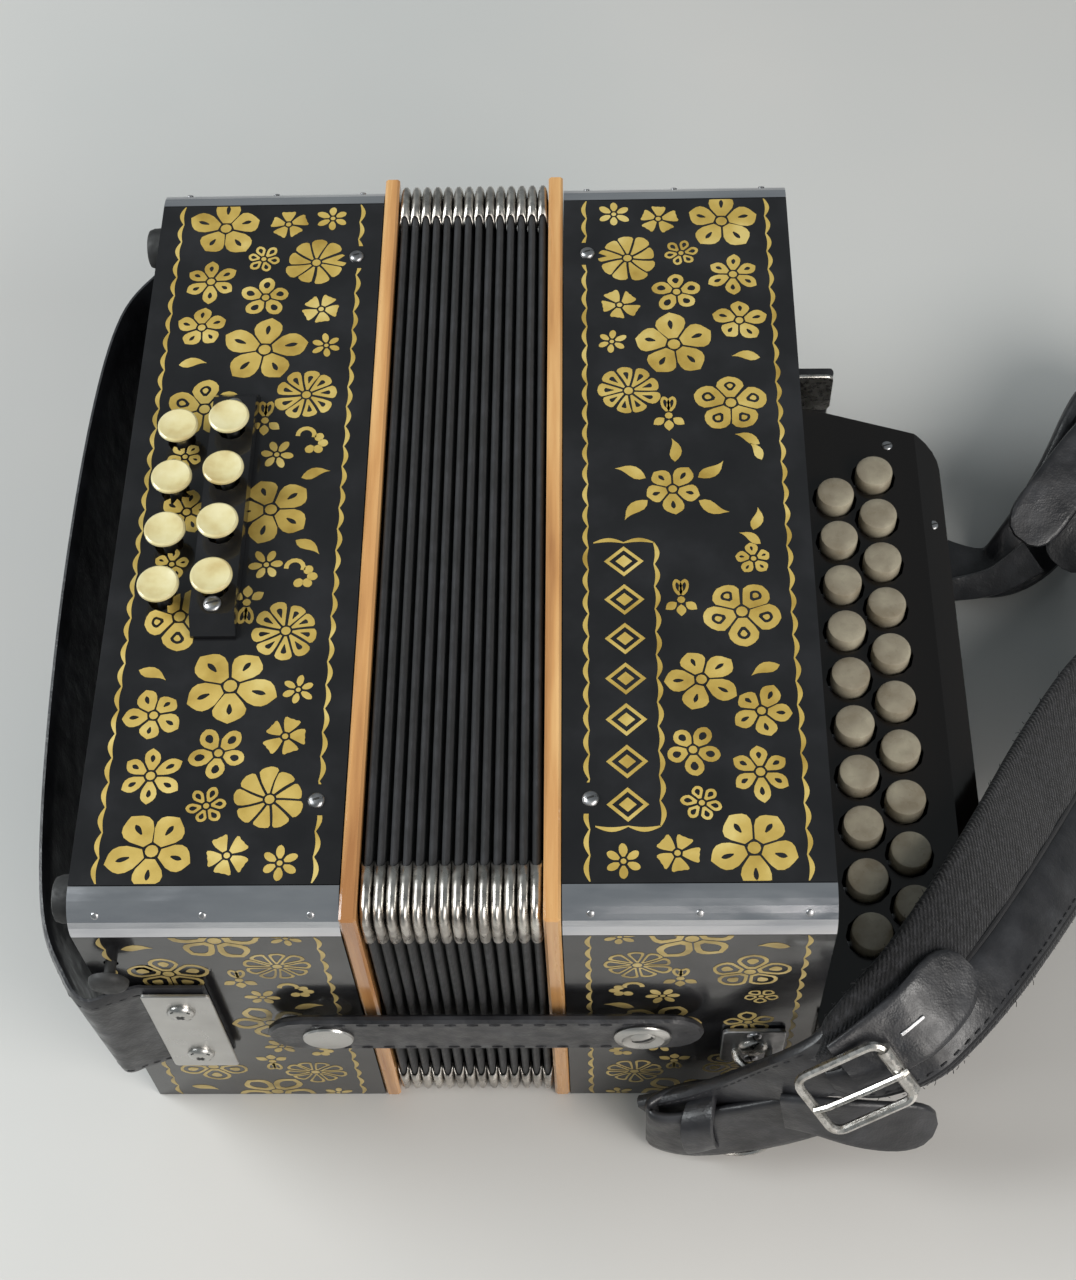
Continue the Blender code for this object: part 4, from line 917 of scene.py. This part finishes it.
SHOULDER_STATIONS = (
    # mm: x from the casing's end, y from the near face, z; across; half width and thickness in mm
    (-50, -12.5, 18, (-0.3, 0.05, 0.95), 12, 4), (-32, -13.5, 30, (-0.4, 0.1, 0.9), 12.5, 4),
    (-18, -15, 47, (-0.4, 0.18, 0.9), 12, 4), (-5, -16.5, 66, (-0.38, 0.26, 0.89), 12.5, 6),
    (8, -14.8, 74, (-0.44, 0.44, 0.78), 16.5, 9), (21, -9.2, 81, (-0.5, 0.65, 0.57), 19.5, 9),
    (32, -0.6, 85.5, (-0.45, 0.76, 0.46), 20.5, 9), (48, 18.8, 84.5, (-0.52, 0.75, 0.4), 22, 9),
    (67, 46.9, 73, (-0.49, 0.79, 0.38), 24, 9), (88, 80.8, 56, (-0.49, 0.8, 0.34), 25.5, 9),
    (109, 116.5, 40, (-0.48, 0.65, 0.6), 27, 9), (127, 148, 31.5, (-0.3, 0.2, 0.93), 28, 9),
    (144, 180, 29, (0, 0, 1), 28, 9), (162, 211, 29, (0, 0, 1), 28, 9), (176, 240, 29, (0, 0, 1), 28, 9),
    (181, 264, 29, (0, 0, 1), 28, 9), (168, 282, 29, (0, 0, 1), 28, 9), (147, 282, 28.5, (0, 0, 1), 27.5, 9),
    (131, 264, 25.5, (-0.3, 0.2, 0.9), 23, 7), (118, 239, 20, (-0.5, 0.4, 0.7), 17.5, 5),
    (103, 218, 12, (-0.5, 0.6, 0.5), 14, 4), (88, 209, 5.5, (-0.1, 0.95, 0.2), 11, 4),
    (72, 214, 2.8, (0.3, 0.95, 0), 10, 4), (48, 229, 2.8, (0.5, 0.85, 0), 10, 4),
    (24, 245, 7, (0.8, 0.6, 0), 9.5, 4), (12.5, 251, 30, (1, 0.1, 0), 9.5, 4), (12, 251, 78, (1, 0, 0), 9.5, 4),
)
PAD_FIRST, PAD_LAST = 4, 18     # the stations between which the strap is padded


def strap_station(x, y, z, across, half, thick):
    """A station in metres and in the frame, from one in millimetres off the casing's near end corner."""
    return Vector((END + x / 1000, y / 1000 - HALF_LENGTH, z / 1000)), Vector(across), half / 1000, thick / 1000


def shoulder_strap():
    """The shoulder strap in three lengths: near billet, padded middle and far strap."""
    steps = 8
    path = smooth_path([strap_station(*row) for row in SHOULDER_STATIONS], steps)
    pad = path[(PAD_FIRST - 1) * steps + steps // 2:PAD_LAST * steps + steps // 2]
    rounded_pad = []
    for i, (middle, across, half, thick) in enumerate(pad):
        from_end = min(i, len(pad) - 1 - i)
        share = 1.0 if from_end > 5 else 0.62 + 0.38 * math.sin(from_end / 6 * math.pi / 2)
        rounded_pad.append((middle, across, half * share, thick * (0.75 + 0.25 * share)))
    seams = [0.04 - 0.34 * (i / (len(pad) - 1)) for i in range(len(pad))]
    main, frames = strap_mesh("shoulder_strap_pad", rounded_pad, [leather, lining], "treble", wrinkle=0.0003,
                              replaces=("shoulder_strap",), seams=seams)
    welt = Shape()
    for lean, lift, radius in ((0.005, 0.62, 0.0009), (-0.88, 0.72, 0.0007)):
        welt.tube([f[0] + f[1] * (f[3] * (lean + seam if lean > 0 else lean)) + f[2] * (f[4] / 2 * lift)
                   for f, seam in list(zip(frames, seams))[3:-3]], radius)
    welt.piece("shoulder_strap_welt", [lining], "treble", slot="strap_leather")
    stitches("shoulder_strap_stitching", frames, ((-0.80, 0.97),), 1, "treble")
    fuzz = Shape()
    for f in frames[2:-2]:
        for edge in (1.0, -1.0):
            for _ in range(2):
                root = f[0] + f[1] * (f[3] * edge * 0.985) + f[2] * (f[4] * rng.uniform(-0.3, 0.3))
                reach = f[1] * (edge * rng.uniform(0.0002, 0.0013)) + f[2] * rng.uniform(-0.0006, 0.0006)
                drift = (f[1].cross(f[2])) * rng.uniform(-0.0018, 0.0018)
                fuzz.tube([root, root + reach * 0.5 + drift * 0.3, root + reach + drift], 0.00012, sides=3)
    fuzz.piece("shoulder_strap_fuzz", [lining], "treble", slot="strap_leather")
    billet = [(middle, across, half * 0.94, 0.0042) for middle, across, half, _ in path[:PAD_FIRST * steps + 2]]
    for name, row, length, share in (("shoulder_strap_billet", "billet_stitching", billet, 0.82),
                                     ("shoulder_strap_far_length", "far_length_stitching",
                                      path[PAD_LAST * steps:], 0.80)):
        _, frames = strap_mesh(name, length, [leather, leather], "treble", crown=0.05, flat=0.9)
        stitches(row, frames, ((share, 0.93), (-share, 0.93)), 1, "treble", step=0.0036)


# loose leather: thickness in mm, whether its tip is rounded, and stations as (x, y, z, across, half width)
LOOSE_ENDS = {
    "strap_folded_tab": (3.4, False, (
        (-16, -12.5, 32, (-0.1, 0.1, 1), 12), (-34, -10.5, 23, (-0.2, 0.1, 1), 13.5),
        (-48, -12.5, 18.5, (-0.1, 0, 1), 14.5), (-51, -17.5, 17.5, (0, 0, 1), 15),
        (-41, -20.5, 19, (-0.2, 0.1, 1), 15), (-22, -20.5, 26, (-0.35, 0.2, 1), 14),
        (-6, -20.5, 37, (-0.4, 0.2, 0.9), 12.5), (4, -20.5, 48, (-0.4, 0.2, 0.9), 11))),
    "strap_keeper": (2.4, False, (
        (-30, -8.5, 12, (0.75, 0, 0.65), 5.5), (-32, -9, 28, (0.75, 0, 0.65), 5.5),
        (-35, -15, 36.5, (0.8, 0.3, 0.5), 5.5), (-37, -23.5, 33, (0.8, 0, 0.6), 5.5),
        (-35, -24.5, 18, (0.8, 0, 0.6), 5.5), (-31, -18, 5, (0.8, 0, 0.6), 5.5))),
    "strap_tongue": (3, True, (
        (-10, -21.5, 46, (-0.45, 0.2, 0.9), 10.5), (4, -24.5, 48, (-0.3, 0.25, 0.93), 11),
        (20, -26, 45, (-0.1, 0.35, 0.92), 11), (38, -25, 40, (0, 0.4, 0.9), 11))),
    "strap_billet_end": (2.2, True, (
        (6, -19, 79.5, (-0.44, 0.44, 0.78), 10), (20, -13.2, 86.8, (-0.5, 0.65, 0.57), 11),
        (31, -5.5, 90.8, (-0.47, 0.74, 0.48), 11.5), (44, 10.5, 90.8, (-0.5, 0.75, 0.42), 11.5))),
    "strap_far_overlap": (2.8, True, (
        (128.9, 248.5, 50, (-0.74, 0.58, 0.34), 8.5), (116.9, 232, 49, (-0.74, 0.58, 0.34), 10),
        (103.9, 215, 45, (-0.74, 0.58, 0.34), 10.5), (91.9, 201, 39, (-0.74, 0.58, 0.34), 10.5))),
    "strap_far_under": (2.8, True, (
        (124.9, 218.5, 31, (-0.74, 0.58, 0.34), 9), (116.9, 209.5, 26, (-0.74, 0.58, 0.34), 10),
        (108.9, 202.5, 20, (-0.74, 0.58, 0.34), 10))),
    "strap_far_twist": (2.6, False, (
        (56.9, 198.5, 6, (0, 0.3, 1), 4.5), (71.9, 200, 6.5, (0.1, 0.6, 0.8), 4.8),
        (86.9, 201, 11, (-0.2, 0.8, 0.6), 5.5), (100.9, 206.5, 19, (-0.5, 0.7, 0.5), 7))),
}


def loose_end(name):
    """A loose leather end or keeper, from its table."""
    thick, round_tip, rows = LOOSE_ENDS[name]
    path = smooth_path([strap_station(*row, thick) for row in rows], 7)
    shaped = []
    for i, (middle, across, half, thickness) in enumerate(path):
        from_tip = len(path) - 1 - i
        if round_tip and from_tip < 5:
            half *= math.sqrt(1 - (1 - (from_tip + 0.25) / 5.25) ** 2)
        shaped.append((middle, across, half, thickness))
    return strap_mesh(name, shaped, [leather] * 2, "treble", crown=0.08, flat=0.88, wrinkle=0.0002)[1]


def strap_ends():
    """The loose leather at both ends, with its ring, its slot and its rivet."""
    for name in ("strap_folded_tab", "strap_keeper", "strap_tongue"):
        loose_end(name)
    ring = Shape()
    x, y, z = END - 0.022, -HALF_LENGTH - 0.0205, 0.0105
    ring.tube([(x + 0.0095 * u, y + 0.0015 * v, z + 0.0065 * v) for u, v in circle(1, 24)], 0.0011, cyclic=True)
    ring.piece("strap_ring_near", [nickel], "treble", slot="nickel")
    frames = loose_end("strap_billet_end")
    slit = Shape()
    middle, side, face = frames[len(frames) // 2][:3]
    slit.slab(0.0046, 0.0006, 0.0008, 0.0006, 0.0002, 0, frame_at(middle + face * 0.0008, face, side.cross(face)))
    slit.piece("strap_billet_slot", [steel], "treble", slot="strap_leather")
    frames = loose_end("strap_far_overlap")
    loose_end("strap_far_under")
    loose_end("strap_far_twist")
    rivet = Shape()
    middle, side, face = frames[8][:3]
    rivet.lathe([(0.0036, 0.0), (0.0036, 0.0004), (0.0030, 0.0010), (0.0, 0.0014)], 0,
                frame_at(middle + face * 0.0014, face), segments=24)
    rivet.piece("strap_far_rivet", [nickel], "treble", slot="nickel")


def bellows_straps():
    """Leather straps over the bellows, with their cup washer, screw and snap cap."""
    thick, to_end = 0.003, 0.049
    for end, sign in (("near", -1), ("far", 1)):
        node = "bellows_strap_" + end
        low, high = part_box(node)
        pivot = Vector(JOINTS[node]["pos_m"])
        long_half, half = (high.x - low.x) / 2, (high.z - low.z) / 2
        place = frame_at((pivot.x - to_end, sign * (HALF_LENGTH + 0.0035), pivot.z), (0, sign, 0), (1, 0, 0))
        shape = Shape()
        shape.slab(long_half, half, thick, half, 0.0009, 0, place)
        washer = [(0.0030, -0.0030), (0.0052, -0.0028), (0.0086, 0.0002), (0.0090, 0.0010), (0.0086, 0.0016),
                  (0.0066, 0.0022), (0.0050, 0.0012), (0.0, 0.0009)]
        shape.lathe(washer, 1, place @ Matrix.Translation((to_end, 0, thick - 0.0003)), segments=32)
        head = place @ Matrix.Translation((to_end, 0, thick + 0.0004))
        shape.lathe([(0.0041, 0.0), (0.0040, 0.0005), (0.0030, 0.0012), (0.0, 0.0016)], 1, head, segments=24)
        # the black rubber bar across this screw head is painted shade for its driver slot
        painted_slot_shade(shape, head @ Matrix.Rotation(0.5, 4, "Z"), 0.0041, 0.0016, 2)
        shape.lathe([(0.0068, -0.0032), (0.0078, -0.0001), (0.0080, 0.0006), (0.0077, 0.0012), (0.0064, 0.0017),
                     (0.0, 0.0019)], 1, place @ Matrix.Translation((-to_end, 0, thick)), segments=36)
        shape.piece(node + "_leather", [leather, satin, rubber], node, slot="strap_leather", replaces=(node,))
        row = Shape()
        margin = 0.0022
        ring = [Vector((*p, 0)) for p in rounded(long_half - margin, half - margin, half - margin, steps=30)]
        resampled = []
        for a, b in zip(ring, ring[1:] + ring[:1]):
            pieces = max(1, int((b - a).length / 0.0034))
            resampled += [a.lerp(b, k / pieces) for k in range(pieces)]
        for a, b in zip(resampled[::2], resampled[1::2]):
            if 0.0008 < (b - a).length < 0.006:
                row.tube([place @ (at + Vector((0, 0, thick + rise)))
                          for at, rise in ((a, 0), (a.lerp(b, 0.5), 0.0002), (b, 0))], 0.0003, sides=5)
        row.piece(node + "_stitching", [thread], node, slot="strap_leather")


# ---- fittings

def clamp_plates():
    """The plates that clamp the hand strap, each with two crossed screws."""
    for end, sign in (("near", -1), ("far", 1)):
        node = "hand_strap_plate_" + end
        low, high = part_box(node)
        inner = sign * (HALF_LENGTH + 0.0036)
        middle, thick = (low + high) / 2, 0.0012
        shape = Shape()
        shape.slab((high.z - low.z) / 2, (high.x - low.x) / 2, thick, 0.0012, 0.0003, 0,
                   frame_at((middle.x, inner, middle.z), (0, sign, 0)))
        for z in (0.018, -0.018):
            # the black rubber bars across these screw heads are painted shade for their driver slots
            screw(shape, (middle.x, inner + sign * thick, middle.z + z), (0, sign, 0), 0.0044, 0.0021, turn=0.7,
                  slot_shade_look=1, crossed=True)
        shape.piece(node + "_look", [satin, rubber], "bass", slot="nickel", replaces=(node,))


def feet():
    """The rubber feet on the bass end, each with its screw down in the middle."""
    for end in ("near", "far"):
        node = "foot_" + end
        low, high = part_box(node)
        middle = (low + high) / 2
        place = frame_at((high.x, middle.y, middle.z), (-1, 0, 0))
        shape = Shape()
        shape.lathe([(0.0074, 0.0), (0.0075, 0.0006), (0.0072, 0.0055), (0.0066, 0.0071), (0.0058, 0.0075),
                     (0.0034, 0.0074), (0.0028, 0.0058), (0.0, 0.0058)], 0, place, segments=32)
        shape.lathe([(0.0024, 0.0056), (0.0023, 0.0063), (0.0014, 0.0068), (0.0, 0.0069)], 1, place, segments=20)
        shape.piece(node + "_look", [rubber, steel], "bass", slot="rubber", replaces=(node,))


def air_button():
    """The air button with its stem and the valve inside."""
    low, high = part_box("air_button")
    shape = Shape()
    place = frame_at((low.x + 0.006, low.y + 0.0035, high.z - 0.006), (0, -1, 0))
    shape.lathe([(0.0052, 0.0), (0.0060, 0.0004), (0.0060, 0.0014), (0.0054, 0.0025), (0.0040, 0.0032),
                 (0.0, 0.0035)], 0, place, segments=32)
    shape.lathe([(0.0017, -0.0125), (0.0017, 0.0002)], 0, place, segments=16)
    bar(shape, (low.x + 0.0045, high.y - 0.0025, low.z), (high.x, high.y, low.z + 0.018), 1)
    shape.piece("air_button_look", [rubber, steel], "air_button", slot="rubber", replaces=("air_button",))


def small_screws():
    """Bellows pins, rail screws, fingerboard screws and the trims' nails."""
    up = (0, 0, 1)
    for side in ("treble", "bass"):
        pins = Shape()
        for y in PIN_ROWS:
            # the black rubber bar across each pin head is painted shade for its driver slot
            screw(pins, local(side, -0.0308, y, TOP), up, 0.0025, 0.0013, slot_shade_look=1)
        pins.piece(side + "_bellows_pins", [steel, rubber], side, slot="steel")
        nails = Shape()
        radius = 0.011
        for sign in (-1, 1):
            normal = Vector((0, sign * math.sqrt(0.5), math.sqrt(0.5)))
            for x in (-0.031, 0.0, 0.031):
                centre = local(side, x, sign * (HALF_LENGTH - radius), TOP - radius)
                screw(nails, centre + normal * radius, normal, 0.0011, 0.0004)
        nails.piece(side + "_trim_nails", [steel], side, slot="steel")
    low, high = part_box("bass_button_rail")
    rail = Shape()
    for y in (low.y + 0.0085, high.y - 0.0085):
        # the black rubber bar across each rail screw head is painted shade for its driver slot
        screw(rail, ((low.x + high.x) / 2, y, high.z), up, 0.0028, 0.0011, slot_shade_look=1)
    rail.piece("rail_screws", [steel, rubber], "bass", slot="steel")
    board = Shape()
    for x, y, drop in ((0.0400, 0.0800, 0), (0.0540, 0.0460, 0.0027), (0.0400, -0.1400, 0)):
        # the black rubber bar across each fingerboard screw head is painted shade for its driver slot
        screw(board, (END + x, y, BOARD_TOP - drop), up, 0.0020, 0.0007, slot_shade_look=1)
    board.piece("fingerboard_screws", [steel, rubber], "treble", slot="steel")


def brackets():
    """The near bracket plate with its staple, and the far plate with its lug."""
    low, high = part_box("strap_bracket_near")
    middle, near = (low + high) / 2, (0, -1, 0)
    back, front = -HALF_LENGTH - 0.0003, -HALF_LENGTH - 0.0018
    shape = Shape()
    shape.slab(0.0130, 0.0100, 0.0015, 0.0022, 0.0003, 0, frame_at((middle.x, back, middle.z), near))
    for z in (0.0095, -0.0095):
        # the black rubber bar across each bracket screw head is painted shade for its driver slot
        screw(shape, (middle.x, front, middle.z + z), near, 0.0024, 0.0010, slot_shade_look=1)
    staple = [(middle.x + 0.0055 * u, front - 0.0062 * v, middle.z - 0.0025) for u, v in circle(1, 24)[:13]]
    shape.tube(staple, 0.0013, 2)
    screw(shape, (middle.x, front + 0.0002, middle.z + 0.0005), near, 0.0048, 0.0026, 2)
    shape.piece("strap_bracket_near_look", [steel, rubber, nickel], "treble", slot="nickel",
                replaces=("strap_bracket_near",))
    low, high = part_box("strap_bracket_far")
    middle = (low + high) / 2
    shape = Shape()
    shape.slab((high.z - low.z) / 2, (high.y - low.y) / 2, 0.0015, 0.0020, 0.0003, 0,
               frame_at((low.x, middle.y, middle.z), (1, 0, 0)))
    lug = frame_at((middle.x + 0.0004, low.y + 0.0065, 0.070), near)
    shape.slab(0.0100, 0.0100, 0.0015, 0.0025, 0.0003, 0, lug)
    shape.piece("strap_bracket_far_look", [nickel], "treble", slot="nickel", replaces=("strap_bracket_far",))


def buckle():
    """The roller buckle on the near billet: wire frame, roller and prong."""
    verts = [v.co.copy() for v in NODES["strap_buckle_near"].data.vertices]
    before, at, after = (strap_station(*row) for row in SHOULDER_STATIONS[3:6])
    along = (after[0] - before[0]).normalized()
    across = (at[1] - along * at[1].dot(along)).normalized()
    out = across.cross(along)
    out *= math.copysign(1.0, -out.y)
    place = placement((along, across, out), sum(verts, Vector()) / len(verts))
    shape = Shape()
    shape.tube([place @ Vector((u, v, 0)) for u, v in rounded(0.0145, 0.0125, 0.004, steps=6)], 0.0015, cyclic=True)
    shape.tube([place @ Vector((0.0145, v, 0)) for v in (-0.0095, -0.0090, 0.0, 0.0090, 0.0095)], 0.0024, sides=14)
    shape.tube([place @ Vector((u, 0, w)) for u, w in ((-0.0145, 0.0016), (-0.010, 0.0026), (0.004, 0.0030),
                                                       (0.0155, 0.0030), (0.0175, 0.0022))], 0.0011)
    shape.piece("strap_buckle_look", [nickel], "treble", slot="nickel", replaces=("strap_buckle_near",))


# ---- dressing and setting

def dress_nodes():
    """Materials for the CAD nodes that stay."""
    looks = {"bass_button_rail": celluloid, "fingerboard": lacquer}
    for ending, look in (("case", celluloid), ("front_cover", celluloid), ("soundboard", spruce),
                         ("reed_block", spruce), ("key_axle", steel), ("bellows_frame", wood),
                         ("trim_near", chrome), ("trim_far", chrome)):
        looks.update({f"{side}_{ending}": look for side in ("treble", "bass")})
    for name, look in looks.items():
        obj = NODES[name]
        obj.data.materials.clear()
        obj.data.materials.append(look)
        if "trim" in name or "axle" in name:
            obj.data.shade_smooth()
            obj.data.set_sharp_from_angle(angle=math.radians(40))


def setting():
    """The table, the soft light and the camera."""
    scene = bpy.context.scene
    size = 3.0
    mesh = bpy.data.meshes.new("table")
    mesh.from_pydata([(-size, -size, 0), (size, -size, 0), (size, size, 0), (-size, size, 0)], [], [(0, 1, 2, 3)])
    mesh.materials.append(table_top)
    table = bpy.data.objects.new("table", mesh)
    table.location.z = -0.0002
    scene.collection.objects.link(table)
    world = bpy.data.worlds.new("soft_room")
    world.use_nodes = True
    background = world.node_tree.nodes["Background"]
    background.inputs["Color"].default_value = (0.84, 0.92, 0.95, 1)
    background.inputs["Strength"].default_value = 0.25
    scene.world = world
    for name, place, aim, width, power, colour in (
            ("window_left", (-1.35, 0.1, 1.15), (0, 0, 0.05), 1.1, 28, (0.95, 0.99, 1.0)),
            ("window_right", (1.1, -0.9, 1.2), (0, 0, 0.05), 0.9, 17, (1.0, 0.97, 0.93)),
            ("near_fill", (0.75, -1.4, 0.8), (0, 0, 0.05), 0.9, 9, (1.0, 0.95, 0.90))):
        data = bpy.data.lights.new(name, "AREA")
        data.shape, data.size, data.energy, data.color = "DISK", width, power, colour
        lamp = bpy.data.objects.new(name, data)
        lamp.location = place
        lamp.rotation_euler = (Vector(aim) - Vector(place)).to_track_quat("-Z", "Y").to_euler()
        scene.collection.objects.link(lamp)
    data = bpy.data.cameras.new("camera")
    data.lens = 57.12
    data.sensor_width = 36
    data.shift_y = -0.013
    camera = bpy.data.objects.new("camera", data)
    camera.location = (-0.02748, -0.37337, 0.67737)
    camera.rotation_euler = tuple(math.radians(a) for a in (31.856, 1.771, 0.485))
    scene.collection.objects.link(camera)
    scene.camera = camera
    scene.view_settings.view_transform = "Standard"


setting()
dress_nodes()
build_keys()
for side in ("treble", "bass"):
    cover_print(side)
    face_print(side, "near", -1)
    face_print(side, "far", 1)
build_bellows()
hand_strap()
shoulder_strap()
strap_ends()
bellows_straps()
clamp_plates()
feet()
air_button()
small_screws()
brackets()
buckle()
